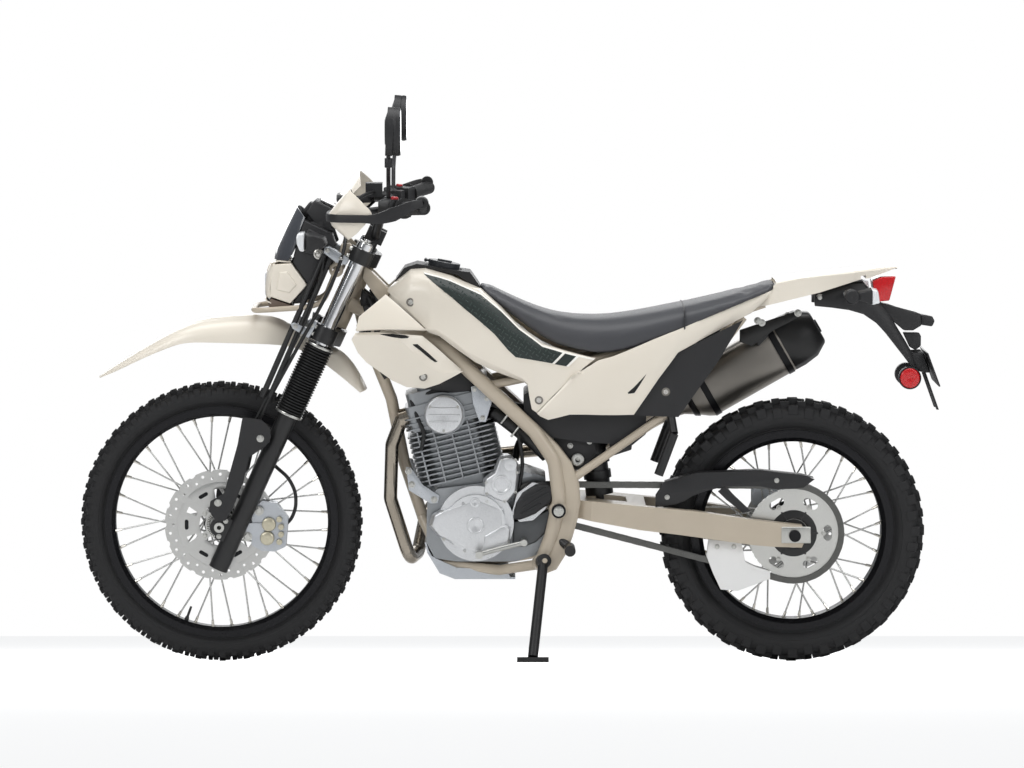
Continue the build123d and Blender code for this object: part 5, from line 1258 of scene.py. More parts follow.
rows = []
for top, crease, low in denser(LOWER_SHROUD, 4):
    row = [(x, shield_flank(x, z), z) for x, z in between(top, crease, 4)[:-1]]
    row += [(x, shield_flank(x, z), z) for x, z in between(crease, low, 9)]
    rows.append(row)
bm = bmesh.new()
skin(bm, rows)
settle(shade(dressed(bm, wall(3.2), rounded(1.6, 2, 38))), "shroud_shields", "chassis",
       [sand_abs], ("shrouds",))

# Painted shade: flat black sheets laid on the panels stand for the unlit inside of the ducts behind the slots
# and vents.
duct_shade_black = surface("painted_duct_shade", "#0E0E0F", "#0A0A0B", 0.7, grain=900, relief=0.1)
SLOTS = [
    [((-298, 806), (-296, 805)), ((-270, 806), (-272, 799)), ((-240, 802), (-248, 795)),
     ((-230, 798), (-234, 795))],
    [((-222, 780), (-220, 777)), ((-211, 780), (-205, 765)), ((-186, 758), (-180, 743)),
     ((-164, 737), (-170, 736))],
]
for number, slot_rows in enumerate(SLOTS):
    bm = bmesh.new()
    skin(bm, [[(x, shield_flank(x, z) + 0.9, z) for x, z in between(top, low, 3)]
              for top, low in denser(slot_rows, 5)])
    settle(shade(dressed(bm, wall(1.5))), f"shroud_slots_{number + 1}", "chassis",
           [duct_shade_black])
panel_screws("shroud_screws", [(-198, shroud_flank(-198, 701) - 2, 701)])

# ---------------------------------------------------------------- side covers and rear panels
# Sand ABS covers over the airbox, clipped at the tank and bolted at the rear, with grained black panels of
# polypropylene below and behind them.
COVER_RIBS = [
    ((70, 614), (78, 606)), ((90, 635), (97, 598)), ((110, 655), (118, 603)), ((148, 695), (148, 611)),
    ((180, 718), (184, 611)), ((214, 740), (220, 610)), ((250, 750), (262, 610)), ((275, 760), (299, 611)),
    ((306, 773), (328, 653)), ((345, 790), (358, 697)), ((380, 804), (382, 729)), ((419, 819), (403, 758)),
    ((470, 840), (470, 794)), ((520, 860), (541, 830)), ((570, 879), (577, 848)), ((636, 906), (638, 904)),
]
COVER_PLAN = [(40, 128), (90, 136), (150, 141), (300, 143), (400, 139), (520, 112), (640, 86)]


def cover_flank(x, z):
    """Half width of a side cover, fuller through its middle than at its edges."""
    top = along([rib[0] for rib in COVER_RIBS], x)
    low = along([rib[1] for rib in COVER_RIBS], x)
    share = max(0.0, min(1.0, (z - low) / max(top - low, 8.0)))
    return along(COVER_PLAN, x) - 9.0 * (1.0 - share) ** 2 - 5.0 * share ** 3


rows = [[(x, cover_flank(x, z), z) for x, z in between(top, low, 8)] for top, low in denser(COVER_RIBS, 3)]
bm = bmesh.new()
skin(bm, rows)
settle(shade(dressed(bm, wall(3.2), rounded(1.4, 2, 38))), "side_cover_skins", "chassis",
       [sand_abs], ("side_covers",))
# The vents are painted shade too: thin black sheets on the cover, not openings.
bm = bmesh.new()
skin(bm, [[(x, cover_flank(x, z) + 0.3, z) for x, z in between(top, low, 2)] for top, low in (
    ((284, 664), (286, 661)), ((298, 676), (300, 663)), ((318, 697), (314, 684)), ((328, 708), (326, 704)))])
settle(shade(dressed(bm, wall(1.5))), "side_cover_vents", "chassis", [duct_shade_black])
paint(black_pp, "rear_panels", "airbox", "tank_cover")
panel_screws("rear_panel_screws", [(375, 119.5, 664)])

# ---------------------------------------------------------------- seat
# A long foam bench under a grained dark grey vinyl cover, stretched over the foam and stapled to a base;
# a seam crosses it in front of the pillion's place.
SEAT_STATIONS = [
    (-66, 919, 898, 50), (-40, 904, 880, 64), (0, 884, 850, 78), (50, 861, 812, 94), (99, 844, 780, 106),
    (135, 837, 768, 116), (172, 833, 760, 125), (234, 832, 750, 132), (306, 842, 768, 133),
    (360, 852, 790, 133), (405, 861, 808, 132), (436, 866, 821, 130), (500, 881, 849, 121),
    (565, 897, 876, 108), (612, 913, 893, 94), (640, 921, 905, 80),
]
SEAT_SECTION = [(0, 0), (0.35, 0.01), (0.65, 0.05), (0.84, 0.14), (0.95, 0.30), (1, 0.52), (1, 0.82),
                (0.97, 1), (0.80, 0.96), (0.40, 0.94), (0, 0.94)]
# Coated cloth with a pebbled grain, 1 mm coarse, that scatters a soft sheen; the seam's piping is darker.
vinyl = surface("grained_seat_vinyl", "#434448", "#3A3B3F", 0.50, grain=900, relief=0.45, spread=0.08)
seam_thread = surface("seat_seam_piping", "#2E2E31", "#262629", 0.55, grain=1200, relief=0.10)

bm = bmesh.new()
closed_loft(bm, [section_ring(*station, SEAT_SECTION) for station in SEAT_STATIONS])
bmesh.ops.recalc_face_normals(bm, faces=bm.faces)
seat_mesh = shade(dressed(bm, smoother(2)), 60)
seat_mesh.transform(parked)
cushion = add_object("cushion", seat_mesh)
remesh = cushion.modifiers.new("even", "REMESH")
remesh.mode = "VOXEL"
remesh.voxel_size = 0.006
frames, most_stretch = 20, 0.003
even = plain(cushion)
cushion.modifiers.clear()
cushion.data = even
held_below = cushion.vertex_groups.new(name="stapled")
upright = parked.inverted()
for vertex in even.vertices:
    x, y, z = upright @ vertex.co
    low = along([(station[0], station[2]) for station in SEAT_STATIONS], x)
    if z < low + 7.0 or x < -60.0 or x > 634.0:
        held_below.add([vertex.index], 1.0, "REPLACE")
cloth = cushion.modifiers.new("stretched", "CLOTH")
cloth.settings.use_pressure = True
cloth.settings.uniform_pressure_force = 4.0
cloth.settings.effector_weights.gravity = 0.0
cloth.settings.vertex_group_mass = "stapled"
cloth.settings.tension_stiffness = 40.0
cloth.settings.compression_stiffness = 40.0
cloth.settings.bending_stiffness = 4.0
cloth.settings.quality = 6
cloth.point_cache.frame_start = 1
cloth.point_cache.frame_end = frames
start_points = [vertex.co.copy() for vertex in even.vertices]
for number in range(1, frames + 1):
    scene.frame_set(number)
    bpy.context.view_layer.update()
stuffed = plain(cushion)
scene.frame_set(1)
for vertex, before in zip(stuffed.vertices, start_points):
    moved = vertex.co - before
    if moved.length > most_stretch:
        vertex.co = before + moved * (most_stretch / moved.length)
bpy.data.objects.remove(cushion)
bm = bmesh.new()
bm.from_mesh(stuffed)
for _ in range(2):
    bmesh.ops.smooth_vert(bm, verts=bm.verts, factor=0.5, use_axis_x=True, use_axis_y=True,
                          use_axis_z=True)
seat_mesh = dressed(bm, ("SUBSURF", {"levels": 1, "render_levels": 1}))
seat_mesh.transform(upright)
shade(seat_mesh, 60)
seat_piece = settle(seat_mesh, "seat_cushion", "chassis", [vinyl], ("seat",))

bm = bmesh.new()
seam = section_ring(418, 864.5, 814, 132.5, SEAT_SECTION[:8], grow=0.6)
seam = sorted(seam, key=lambda point: point[1])
tube(bm, curved([seam[0], *seam[1:-1], seam[-1]], 4), 1.8, 8)
piece_from(bm, "seat_seam", "chassis", [seam_thread])

# ---------------------------------------------------------------- front fender
# A high fender of sand ABS, moulded as one long shell with a raised spine, bolted under the lower clamp.
FENDER_STATIONS = [
    (-974, 688, -970, 686, 12), (-940, 712, -936, 701, 34), (-900, 739, -896, 721, 46),
    (-867, 760, -860, 739, 54), (-815, 791, -815, 758, 61), (-763, 818, -775, 774, 66),
    (-720, 829, -735, 776, 67), (-682, 833, -695, 775, 66), (-620, 838, -625, 773, 65),
    (-555, 836, -560, 771, 62), (-512, 814, -522, 767, 56), (-482, 784, -492, 758, 53),
    (-440, 768, -458, 742, 52), (-402, 758, -424, 716, 51), (-376, 734, -396, 694, 50),
    (-352, 700, -370, 672, 49), (-334, 660, -350, 654, 47),
]
FENDER_SECTION = [(1, 1), (0.99, 0.72), (0.93, 0.46), (0.80, 0.26), (0.60, 0.14), (0.36, 0.09), (0.22, 0.03),
                  (0, 0)]


def fender_row(top_x, top, low_x, low, half):
    """Half a section of the fender, from its edge up to the spine."""
    return [(low_x + (top_x - low_x) * (1 - down), share * half, top - down * (top - low))
            for share, down in FENDER_SECTION]


rows = [fender_row(*station) for station in FENDER_STATIONS]
bm = bmesh.new()
whole = [[bm.verts.new((x, -y, z)) for x, y, z in row]
         + [bm.verts.new((x, y, z)) for x, y, z in reversed(row[:-1])] for row in rows]
for here, there in zip(whole, whole[1:]):
    for k in range(len(here) - 1):
        bm.faces.new((here[k], here[k + 1], there[k + 1], there[k]))
bmesh.ops.recalc_face_normals(bm, faces=bm.faces)
if sum(face.normal.z * face.calc_area() for face in bm.faces) < 0:
    bmesh.ops.reverse_faces(bm, faces=bm.faces)
settle(shade(dressed(bm, smoother(2), wall(3), rounded(1.2, 2, 50))), "front_fender_shell", "steering",
       [sand_abs], ("front_fender",))

# ---------------------------------------------------------------- fork
# A telescopic fork: hard-chromed tubes in black-painted legs, under moulded rubber gaiters, held by forged
# clamps painted black; its guards are grained black polypropylene.
# Hard chrome is a cool mirror; the gaiters' rubber is black with a fine moulded grain.
hard_chrome = surface("hard_chromed_tube", "#E2E3E5", "#D5D6D8", 0.08, 1.0, grain=700, relief=0.01,
                      spread=0.03)
gaiter_rubber = surface("moulded_gaiter_rubber", "#131314", "#0E0E0F", 0.46, grain=1500, relief=0.08)
paint(hard_chrome, "fork_tubes")
paint(satin_black, "fork_lowers", "triple_clamps", "handlebar")
paint(black_pp, "fork_guards", "instrument")
paint(hose_rubber, "front_hoses")
rake = math.radians(24.6)
fork_way = Vector((math.sin(rake), 0.0, math.cos(rake)))
fork_back = Vector((math.cos(rake), 0.0, -math.sin(rake)))
fork_foot = Vector(front_axle) + fork_back * 38.0


def fork_point(height, behind, side):
    """A point given along the fork's tubes, behind them and across the machine."""
    return fork_foot + fork_way * height + fork_back * behind + Vector((0.0, side, 0.0))


fork_tubes = (-95.0, 95.0)
gaiter_ribs = 27
gaiter_foot, gaiter_head = 311.0, 494.0
rib_root, rib_crest = 28.6, 33.6
width = (gaiter_head - gaiter_foot) / gaiter_ribs
gaiter = [(309.5, 19.0), (309.5, 30.0)]
for rib in range(gaiter_ribs):
    foot = gaiter_foot + rib * (gaiter_head - gaiter_foot) / gaiter_ribs
    gaiter += [(foot, rib_root), (foot + width * 0.35, rib_crest), (foot + width * 0.65, rib_crest)]
gaiter += [(gaiter_head, rib_root), (495.5, rib_root), (495.5, 19.0)]
bm = bmesh.new()
for side in fork_tubes:
    lathe(bm, gaiter, fork_point(0, 0, side), fork_way, 44)
piece_from(bm, "gaiter_bellows", "steering", [gaiter_rubber], ("fork_gaiters",), sharp=60)
bm = bmesh.new()
for side in fork_tubes:
    for low, high in ((311, 317), (488, 494)):
        lathe(bm, [(low, 30), (low, 34), (high, 34), (high, 30)], fork_point(0, 0, side), fork_way, 40)
    turned(bm, [(755.5, 17), (760, 16), (762, 9), (766, 9)], fork_point(0, 0, side), fork_way, 24)
piece_from(bm, "fork_bands_and_caps", "steering", [bolt_zinc], bevel=0.5)
bm = bmesh.new()
for side, out in sides:
    for height in (512, 530, 716, 734):
        add_bolt(bm, fork_point(height, -26, side * 106), -fork_back, 4.6, 6)
    for x, z in ((-583, 554), (-684, 401)):
        add_bolt(bm, (x, side * 131.5, z), out, 6.5, 5, 1.5)
    for height in (-20, 20):
        add_bolt(bm, fork_point(height, -30, side * 112), out, 4.4, 5)
turned(bm, [(742.5, 15), (750, 14)], fork_point(0, 16, 0), fork_way, 6)
piece_from(bm, "fork_bolts", "steering", [bolt_zinc], bevel=0.4)

# Brake calipers are cast aluminium. On the front one stand piston housings and pins, anodised in a pale
# champagne that still shines like metal, and its mounting bolts.
paint(bracket_zinc, "front_caliper", "rear_caliper")
champagne = surface("champagne_anodised_caliper", "#C9C3AE", "#B6B09B", 0.34, 0.6, grain=1300, relief=0.06)
bm = bmesh.new()
for x, z in ((-566, 344), (-570, 311)):
    turned(bm, [(92, 17), (98.5, 16), (100.5, 12)], (x, 0, z), left, 36)
for x, z in ((-541, 356), (-537, 338), (-537, 320), (-541, 302)):
    turned(bm, [(92, 7), (97, 7), (98, 5)], (x, 0, z), left, 20)
piece_from(bm, "caliper_pistons", "steering", [champagne], bevel=0.6)
bm = bmesh.new()
for x, z in ((-589, 377), (-617, 315)):
    add_bolt(bm, (x, -93, z), left, 8.5, 6, 2)
piece_from(bm, "caliper_bolts", "steering", [bolt_zinc], bevel=0.5)

# The front disc's carrier is one plate with six windows and six slots, cut from the same steel.
bm = bmesh.new()
steps, window = 72, (4, 5, 6, 7)
rings = [[bm.verts.new((front_axle[0] + radius * math.cos(math.tau * k / steps), -62.0,
                        front_axle[2] + radius * math.sin(math.tau * k / steps))) for k in range(steps)]
         for radius in (50.0, 62.0, 86.0, 104.0)]
for band in range(3):
    for k in range(steps):
        if band != 1 or k % 12 not in window:
            after = (k + 1) % steps
            bm.faces.new((rings[band][k], rings[band][after], rings[band + 1][after], rings[band + 1][k]))
disc_steel = bpy.data.materials["ground_front_disc"]
settle(shade(dressed(bm, wall(3, 0), rounded(0.6, 2, 40))), "front_disc_carrier", "front_wheel",
       [disc_steel])
bm = bmesh.new()
for k in range(6):
    angle = math.tau * k / 6
    out, along_rim = (math.cos(angle), math.sin(angle)), (-math.sin(angle), math.cos(angle))
    plate(bm, [(front_axle[0] + out[0] * r + along_rim[0] * t, front_axle[2] + out[1] * r + along_rim[1] * t)
               for r, t in ((79, -12), (76, -9), (76, 9), (79, 12), (83, 12), (85, 9), (85, -9), (83, -12))],
          -64, -63.2, 0)
piece_from(bm, "front_disc_slots", "front_wheel", [black_steel])

# ---------------------------------------------------------------- headlamp cowl, screen and instrument
# A small sand ABS cowl with raised cheeks wraps the lamp; black housings carry it and the smoked screen
# above, and a clear lamp lens fills its front. A powder-coated tube guards the lamp's foot.
# Brown polypropylene is plain and satin; tinted acrylic is dark and glassy; clear polycarbonate over the
# reflector reads pale grey and shiny; the indicators' lenses are a milky white.
cowl_brown = surface("brown_moulded_trim", "#6A5B50", "#5B4D43", 0.42, grain=1300, relief=0.10)
smoke = surface("smoked_acrylic_screen", "#43464C", "#383A40", 0.14, grain=400, relief=0.01, coat=0.5)
lamp_clear = surface("clear_lamp_lens", "#DCDEE1", "#C4C7CB", 0.12, grain=420, relief=0.04, coat=0.5)
white_lens = surface("white_indicator_lens", "#EDEFF1", "#DADCDF", 0.22, grain=420, relief=0.03, coat=0.3)
bm = bmesh.new()
twin_plates(bm, ([(-560, 946), (-553, 965), (-509, 968), (-470, 914), (-512, 868), (-562, 885)], 60, 96, 3),
            ([(-538, 947), (-519, 948), (-496, 915), (-514, 895), (-546, 903)], 95, 99, 2))
piece_from(bm, "cowl_cheeks", "steering", [sand_abs], ("headlight_cowl",), bevel=3,
           segments=3)
bm = bmesh.new()
skin(bm, [[(-572 + back, y, 884), (-574 + back, y, 905), (-570 + back, y, 942), (-560 + back, y, 966)]
          for y, back in ((96, 12), (88, 6), (66, 2), (52, 0))])
skin(bm, [[(-560, y, 966), (-540, y, 972), (-511, y, 970)] for y in (0, 40, 92)])
skin(bm, [[(-560, y, 966), (-566, y, 956), (-570, y, 944)] for y in (0, 30, 54)])
skin(bm, [[(-572, y, 884), (-570, y, 876), (-558, y, 870)] for y in (0, 30, 66, 94)])
settle(shade(dressed(bm, wall(2.5), rounded(1, 2, 40))), "cowl_face", "steering", [sand_abs],
       ("headlight_cowl",))
bm = bmesh.new()
twin_plates(bm, ([(-561, 884), (-512, 867), (-508, 860), (-566, 862)], 60, 93, 2))
plate(bm, [(-566, 872), (-512, 866), (-508, 858), (-566, 861)], -60, 60, 0)
piece_from(bm, "cowl_lower_trim", "steering", [cowl_brown], bevel=1.5)
bm = bmesh.new()
twin_plates(bm, ([(-480, 1070), (-412, 1038), (-402, 1010), (-430, 986), (-452, 905), (-478, 872),
                  (-508, 868), (-472, 915), (-509, 968), (-501, 1000), (-490, 1040)], 66, 90, 3),
            ([(-470, 1050), (-430, 1030), (-424, 1010), (-446, 980), (-486, 990), (-492, 1020)], 88, 94, 4))
piece_from(bm, "cowl_housings", "steering", [black_pp], ("cowl_bracket",), bevel=2.5,
           segments=3)
bm = bmesh.new()
for side in (-1, 1):
    tube(bm, curved([(-404, side * 84, 950), (-418, side * 86, 915), (-436, side * 92, 878),
                     (-470, side * 100, 864), (-540, side * 100, 858), (-586, side * 84, 854),
                     (-600, side * 58, 853), (-600, 0, 853)], 6), 6.5, 14)
piece_from(bm, "lamp_guard_tube", "steering", [powder_grey], ("cowl_bracket",))
bm = bmesh.new()
solid_between(bm, [(-478, -74, 1060), (-478, 74, 1060), (-440, 74, 930), (-440, -74, 930)],
              [(-432, -74, 1070), (-432, 74, 1070), (-412, 74, 960), (-412, -74, 960)])
solid_between(bm, [(-520, -74, 966), (-520, 74, 966), (-512, 74, 872), (-512, -74, 872)],
              [(-448, -74, 990), (-448, 74, 990), (-462, 74, 880), (-462, -74, 880)])
piece_from(bm, "cowl_inner_frame", "steering", [black_pp], bevel=4, segments=2)
bm = bmesh.new()
for side in (-1, 1):
    for behind in (-9, 9):
        tube(bm, [(-422 + behind, side * 100, 988), (-571 + behind, side * 108, 650)], 6.5, 14)
piece_from(bm, "stay_rods", "steering", [satin_black])
bm = bmesh.new()
skin(bm, [[(-554 + back * 0.95, y, 972), (-548 + back * 1.15, y, 998), (-528 + back, y, 1042),
           (-500 + back * 0.6, y, 1098 - drop * 1.1)] for y, back, drop in (
    (0, 0, 0), (30, 1, 0), (52, 5, 2), (68, 10, 5), (80, 20, 10), (92, 38, 22))])
bmesh.ops.remove_doubles(bm, verts=bm.verts, dist=0.01)
settle(shade(dressed(bm, wall(3), rounded(1, 2, 40)), 50), "smoked_screen", "steering",
       [smoke], ("screen",))
bm = bmesh.new()
plate(bm, [(-476, 1084), (-456, 1114), (-404, 1090), (-408, 1040), (-440, 1040)], -74, 74, 3)
plate(bm, [(-492, 1078), (-468, 1108), (-452, 1100), (-476, 1064)], -40, 40, 2)
piece_from(bm, "instrument_pod", "steering", [black_pp], bevel=4, segments=3)
# The display is off: black glass.
display = surface("instrument_glass", "#1C2126", "#161A1E", 0.10, grain=300, relief=0.01, coat=0.6)
bm = bmesh.new()
solid_between(bm, [(-442, -48, 1112), (-408, -48, 1096), (-408, 48, 1096), (-442, 48, 1112)],
              [(-441, -46, 1114), (-407, -46, 1098), (-407, 46, 1098), (-441, 46, 1114)])
piece_from(bm, "instrument_glass", "steering", [display], bevel=0.8)
bm = bmesh.new()
for side, out in sides:
    lathe(bm, [(90, 5), (90, 13), (97, 12), (98, 9), (95, 7), (95, 5)], (-445, 0, 988), out, 32)
    turned(bm, [(90, 6.5), (97.5, 6.5), (98.5, 4)], (-445, 0, 988), out, 6)
piece_from(bm, "cowl_bolts", "steering", [screw_head])
bm = bmesh.new()
closed_loft(bm, [[(x, -half, low), (x, half, low), (x, half, high), (x, -half, high)]
                 for x, half, low, high in ((-520, 40, 890, 940), (-548, 50, 882, 943),
                                            (-571, 51, 883, 943), (-574, 44, 888, 938))])
piece_from(bm, "headlamp_lens", "steering", [lamp_clear], ("headlamp",), bevel=5, segments=4)

# Front indicators: black stalked bodies with white ribbed lenses.
bm = bmesh.new()
for side in (-1, 1):
    plate(bm, [(-473, 1044), (-452, 1045), (-426, 1036), (-420, 1018), (-428, 1008), (-473, 999)],
          side * 166, side * 226, 5)
    tube(bm, [(-440, side * 84, 1020), (-440, side * 168, 1021)], 9, 16)
piece_from(bm, "indicator_bodies", "steering", [black_pp], ("front_indicators",), bevel=3,
           segments=3)
bm = bmesh.new()
twin_plates(bm, ([(-494, 1037), (-488, 1046), (-473, 1047), (-473, 1000), (-484, 1001), (-494, 1020)],
                 168, 224, 3))
piece_from(bm, "indicator_lenses", "steering", [white_lens], ("front_indicators",), bevel=3,
           segments=3)

# Bright clamps on the fork carry the cowl's stays.
bm = bmesh.new()
twin_plates(bm, ([(-432, 1004), (-420, 1008), (-370, 978), (-380, 962), (-404, 968), (-434, 992)],
                 84, 112, 1.5),
            ([(-513, 824), (-504, 828), (-470, 812), (-466, 836), (-446, 828), (-458, 804), (-468, 788),
              (-508, 812)], 84, 112, 1.5))
piece_from(bm, "fork_stay_clamps", "steering", [bracket_zinc], bevel=2, segments=3)
bm = bmesh.new()
for side, out in sides:
    for x, z in ((-424, 998), (-392, 978), (-500, 818), (-462, 822)):
        add_bolt(bm, (x, side * 112, z), out, 4.4, 5)
piece_from(bm, "stay_clamp_bolts", "steering", [bolt_zinc], bevel=0.4)
bm = bmesh.new()
for side, out in sides:
    plate(bm, [(-392, 1012), (-372, 1014), (-360, 1000), (-372, 976), (-392, 976), (-398, 992)],
          side * 70, side * 84, 2)
    lathe(bm, [(78, 9), (78, 17), (92, 17), (92, 9)], (-404, 0, 950), out, 32)
piece_from(bm, "cowl_stays", "steering", [powder_grey], bevel=1.5)

# ---------------------------------------------------------------- handlebar, controls and hand guards
# Steel bar with rubber grips; moulded switch pods and levers; sand ABS hand guards on black wrap-round bars;
# black folding mirrors with silvered glass.
# Grips are soft black rubber with a deep moulded grain.
grip_rubber = surface("moulded_grip_rubber", "#1A1A1B", "#121213", 0.60, grain=700, relief=0.5, depth=0.0006)
paint(grip_rubber, "grips")
paint(black_pp, "controls", "mirrors")
# Silvered glass is a clean mirror; the switch caps are red moulded plastic.
mirror_glass = surface("silvered_mirror_glass", "#EDEFF1", "#E6E8EA", 0.03, 1.0, grain=300, relief=0.0,
                       spread=0.01)
red_switch = surface("red_switch_cap", "#B5222A", "#9E1B22", 0.35, grain=900, relief=0.05)
bar_rows = [
    [(-362, 226, 1062), (-378, 226, 1080), (-386, 226, 1097), (-372, 226, 1114), (-356, 226, 1130)],
    [(-364, 300, 1048), (-394, 300, 1076), (-406, 300, 1097), (-386, 300, 1122), (-360, 300, 1150)],
    [(-366, 350, 1043), (-402, 350, 1074), (-414, 350, 1097), (-390, 350, 1128), (-362, 350, 1160)],
    [(-366, 388, 1042), (-402, 392, 1074), (-413, 395, 1097), (-390, 395, 1128), (-362, 392, 1161)],
    [(-364, 414, 1044), (-388, 420, 1074), (-396, 424, 1098), (-380, 422, 1126), (-360, 416, 1157)],
    [(-346, 428, 1058), (-354, 432, 1080), (-352, 434, 1100), (-350, 432, 1122), (-344, 428, 1143)],
    [(-318, 434, 1088), (-314, 436, 1096), (-310, 437, 1103), (-312, 436, 1109), (-316, 434, 1115)],
]
bm = bmesh.new()
skin(bm, bar_rows)
settle(shade(dressed(bm, wall(3), rounded(1.2, 2, 45)), 34), "hand_guard_shields", "steering",
       [sand_abs], ("hand_guards",))
bm = bmesh.new()
for side in (-1, 1):
    middle = curved([(-330, side * 206, 1100), (-382, side * 224, 1097), (-409, side * 300, 1095),
                     (-412, side * 350, 1094), (-410, side * 396, 1094), (-390, side * 430, 1094),
                     (-340, side * 442, 1094), (-300, side * 445, 1094), (-262, side * 443, 1104),
                     (-222, side * 436, 1122), (-196, side * 424, 1130)], 6)
    rings = []
    for number, place in enumerate(middle):
        deep = 9.0 + 7.0 * max(0.0, 1.0 - abs(place.x + 262.0) / 60.0) * (abs(place.y) > 400.0)
        ahead = (middle[min(number + 1, len(middle) - 1)] - middle[max(number - 1, 0)]).normalized()
        out = ahead.cross(Vector((0, 0, 1))).normalized()
        up = out.cross(ahead)
        rings.append([place + out * a + up * b for a, b in (
            (4, deep), (-4, deep), (-5, deep / 2), (-5, -deep / 2), (-4, -deep), (4, -deep), (5, -deep / 2),
            (5, deep / 2))])
    closed_loft(bm, rings)
piece_from(bm, "hand_guard_bars", "steering", [black_pp], ("hand_guards",), bevel=0,
           sharp=40)
bm = bmesh.new()
for side, out in sides:
    turned(bm, [(396, 15), (424, 15), (428, 12), (428, 6), (424, 5)], (-196, 0, 1129), out, 28)
piece_from(bm, "bar_end_weights", "steering", [satin_black], ("hand_guards",), bevel=0.6)
bm = bmesh.new()
for side in (-1, 1):
    rings = []
    for x, half_y, half_z in ((-248, 18, 16), (-256, 22, 21), (-284, 23, 22), (-300, 17, 16)):
        rings.append([(x, side * 262 + half_y * math.cos(math.radians(a)),
                       1108 + half_z * math.sin(math.radians(a)))
                      for a in range(0, 360, 20)])
    closed_loft(bm, rings)
piece_from(bm, "switch_pods", "steering", [black_pp], bevel=1.5, sharp=40)
bm = bmesh.new()
for y, radius, top in ((-262, 9, 6), (262, 8, 5)):
    turned(bm, [(-2, radius), (4, radius), (top, 6)], (-262, y, 1128), (0.1, 0, 1), 24)
piece_from(bm, "switch_caps", "steering", [red_switch], bevel=0.6)

# Mirror heads, domed in front, with glass toward the rider.


def mirror_body(bm, side, stations):
    """A closed oval through stations of a place and a share of the mirror's full size."""
    half_width, half_height, lean_in = 42, 56, 3
    rings = []
    for x, size in stations:
        turns = [math.radians(a) for a in range(0, 360, 12)]
        rings.append([(x, side * 365 + half_width * size * math.cos(a) + side * lean_in * math.sin(a),
                       1289 + half_height * size * math.sin(a)) for a in turns])
    closed_loft(bm, rings)


bm, glass = bmesh.new(), bmesh.new()
for side in (-1, 1):
    mirror_body(bm, side, ((-246, 0.97), (-252, 1), (-266, 0.96), (-276, 0.80), (-282, 0.5)))
    mirror_body(glass, side, ((-247, 0.92), (-245.2, 0.92)))
    turned(bm, [(-10, 9), (12, 9)], (-274, side * 350, 1216), (0, 0, 1), 20)
piece_from(bm, "mirror_heads", "steering", [black_pp], bevel=0.8, sharp=50)
piece_from(glass, "mirror_glasses", "steering", [mirror_glass])

# ---------------------------------------------------------------- steering head and wiring
# Welded steel gussets brace the head tube; the loom and cables pass it in black sleeving.
bm = bmesh.new()
twin_plates(bm, ([(-346, 930), (-338, 962), (-273, 897), (-290, 868), (-306, 874)], 30, 58, 3))
piece_from(bm, "head_gussets", "chassis", [powder_grey], bevel=3, segments=3)
bm = bmesh.new()
for points in (
    [(-330, -40, 880), (-318, -52, 850), (-330, -50, 800), (-316, -46, 760), (-300, -50, 715),
     (-286, -54, 690)],
    [(-322, -36, 900), (-306, -48, 872), (-300, -52, 830), (-310, -50, 790), (-300, -48, 745)],
    [(-340, -30, 860), (-336, -40, 820), (-340, -40, 780), (-322, -40, 740)],
    [(-310, 40, 880), (-304, 50, 840), (-312, 50, 790), (-300, 48, 740)],
):
    tube(bm, curved(points, 6), 7, 12)
piece_from(bm, "loom_at_head", "chassis", [hose_rubber])
bm = bmesh.new()
twin_plates(bm, ([(-346, 903), (-322, 884), (-296, 868), (-300, 838), (-316, 806), (-338, 788), (-354, 798),
                  (-352, 850)], 28, 44, 4),
            ([(-344, 866), (-318, 860), (-314, 838), (-338, 828)], 42, 54, 3))
piece_from(bm, "loom_covers", "chassis", [black_pp], bevel=3, segments=3)

# ---------------------------------------------------------------- tank cap and cover
# The tank's spine is covered in grained black plastic; the hinged cap is die cast and painted dark grey.
# The cap's paint is a dark satin grey with a hint of metal in it.
cap_grey = surface("painted_cap_grey", "#34363A", "#2B2D31", 0.42, 0.2, grain=1200, relief=0.10)
paint(cap_grey, "fuel_cap")

# ---------------------------------------------------------------- tail
# A sand ABS tail cap over black moulded fender parts; a red lamp stands at its end, with black-bodied
# indicators below it, and a plate bracket with a round red reflector hangs behind the wheel.
# Deep red acrylic, smooth and shiny.
red_lens = surface("red_tail_lens", "#C8141B", "#B91118", 0.20, grain=420, relief=0.02, coat=0.4)
paint(black_pp, "rear_indicators")
bm = bmesh.new()
for side, out in sides:
    turned(bm, [(44, 23.5), (57, 23.5), (59, 21)], (958, 0, 690), out, 40)
piece_from(bm, "side_reflectors", "chassis", [red_lens], ("plate_holder",), bevel=0.8)
bm = bmesh.new()
for side, out in sides:
    turned(bm, [(40, 27), (56, 27), (56, 24.2), (46, 24.2)], (958, 0, 690), out, 40)
    turned(bm, [(112, 15), (168, 18), (173, 14)], (810, 0, 893), out, 28)
    plate(bm, [(822, 902), (858, 912), (858, 872), (822, 884)], side * 118, side * 168, 4)
piece_from(bm, "reflector_rims", "chassis", [black_pp], ("plate_holder", "rear_indicators"),
           bevel=1.2)
bm = bmesh.new()
for side in (-1, 1):
    plate(bm, [(856, 913), (872, 909), (877, 876), (856, 871)], side * 120, side * 166, 3)
    tube(bm, [(806, side * 40, 890), (810, side * 116, 894)], 9, 16)
piece_from(bm, "rear_indicator_lenses", "chassis", [white_lens], ("rear_indicators",),
           bevel=3, segments=3)
bm = bmesh.new()
plate(bm, [(866, 922), (888, 931), (922, 933), (907, 875), (876, 872)], -60, 60, 4)
piece_from(bm, "tail_lens", "chassis", [red_lens], ("tail_lamp",), bevel=3, segments=3)

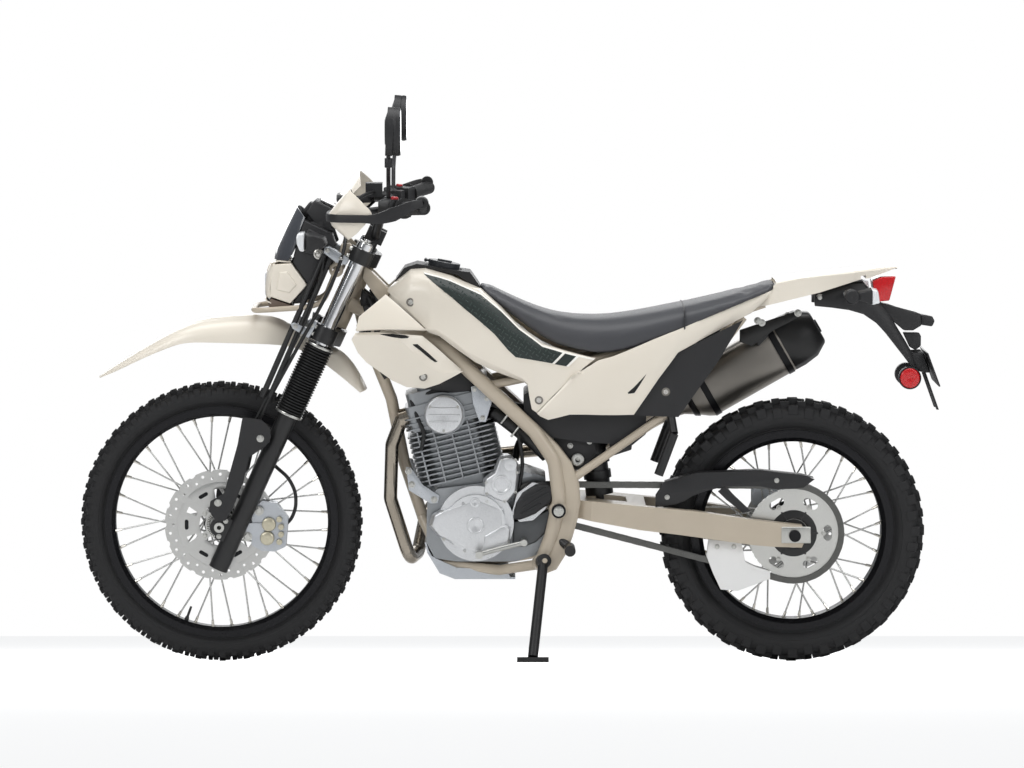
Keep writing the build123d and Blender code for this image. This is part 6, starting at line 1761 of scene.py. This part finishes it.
# The rear fender's tongue is one black moulding with a lamp fin above and a steel plate bar at its foot.
TONGUE = [
    (730, 893, 862, 58), (770, 906, 858, 56), (812, 918, 852, 54), (846, 920, 842, 52), (878, 884, 820, 50),
    (906, 850, 790, 48), (928, 812, 762, 46), (950, 776, 734, 44), (970, 742, 708, 42), (980, 722, 700, 36),
]
bm = bmesh.new()
closed_loft(bm, [[(x, -half, low), (x, -half, (low + high) / 2), (x, -half * 0.86, high - 4), (x, 0, high),
                  (x, half * 0.86, high - 4), (x, half, (low + high) / 2), (x, half, low),
                  (x, half * 0.9, low), (x, 0, high - 8), (x, -half * 0.9, low)]
                 for x, high, low, half in TONGUE])
piece_from(bm, "fender_tongue", "chassis", [black_pp], ("plate_holder",), bevel=1.2,
           sharp=36)
bm = bmesh.new()
plate(bm, [(876, 870), (908, 864), (944, 854), (984, 842), (986, 814), (966, 802), (944, 802), (920, 822)],
      -40, 40, 6)
plate(bm, [(984, 840), (1012, 836), (1018, 824), (1012, 811), (984, 815)], -34, 34, 5)
plate(bm, [(942, 796), (981, 797), (986, 788), (986, 764), (973, 754), (958, 762)], -30, 30, 5)
for side in (-1, 1):
    plate(bm, [(962, 750), (990, 752), (1002, 726), (1010, 700), (996, 700), (968, 706)],
          side * 26, side * 40, 3)
piece_from(bm, "lamp_fin_and_brackets", "chassis", [black_pp], ("plate_holder",), bevel=3,
           segments=3)
bm = bmesh.new()
solid_between(bm, [(994, -85, 752), (998, -85, 753), (998, 85, 753), (994, 85, 752)],
              [(1024, -85, 672), (1028, -85, 673), (1028, 85, 673), (1024, 85, 672)])
for side in (-1, 1):
    solid_between(bm, [(990, side * 24, 706), (996, side * 24, 706), (996, side * 34, 706),
                       (990, side * 34, 706)],
                  [(1024, side * 24, 612), (1030, side * 24, 612), (1030, side * 34, 612),
                   (1024, side * 34, 612)])
piece_from(bm, "plate_bar", "chassis", [satin_black], ("plate_holder",), bevel=1.2)
bm = bmesh.new()
skin(bm, [[(x, half, low), (x, half * 0.99, high - 5), (x, half * 0.94, high - 1), (x, half * 0.5, high + 1),
           (x, 0.0, high + 1)] for x, low, high, half in (
    (636, 900, 922, 84), (696, 912, 931, 80), (760, 922, 939, 74), (831, 934, 947, 66), (880, 943, 952, 56),
    (926, 951, 955, 40))])
bmesh.ops.remove_doubles(bm, verts=bm.verts, dist=0.01)
settle(shade(dressed(bm, wall(2.5), rounded(0.8, 2, 40)), 34), "tail_cap", "chassis",
       [sand_abs])
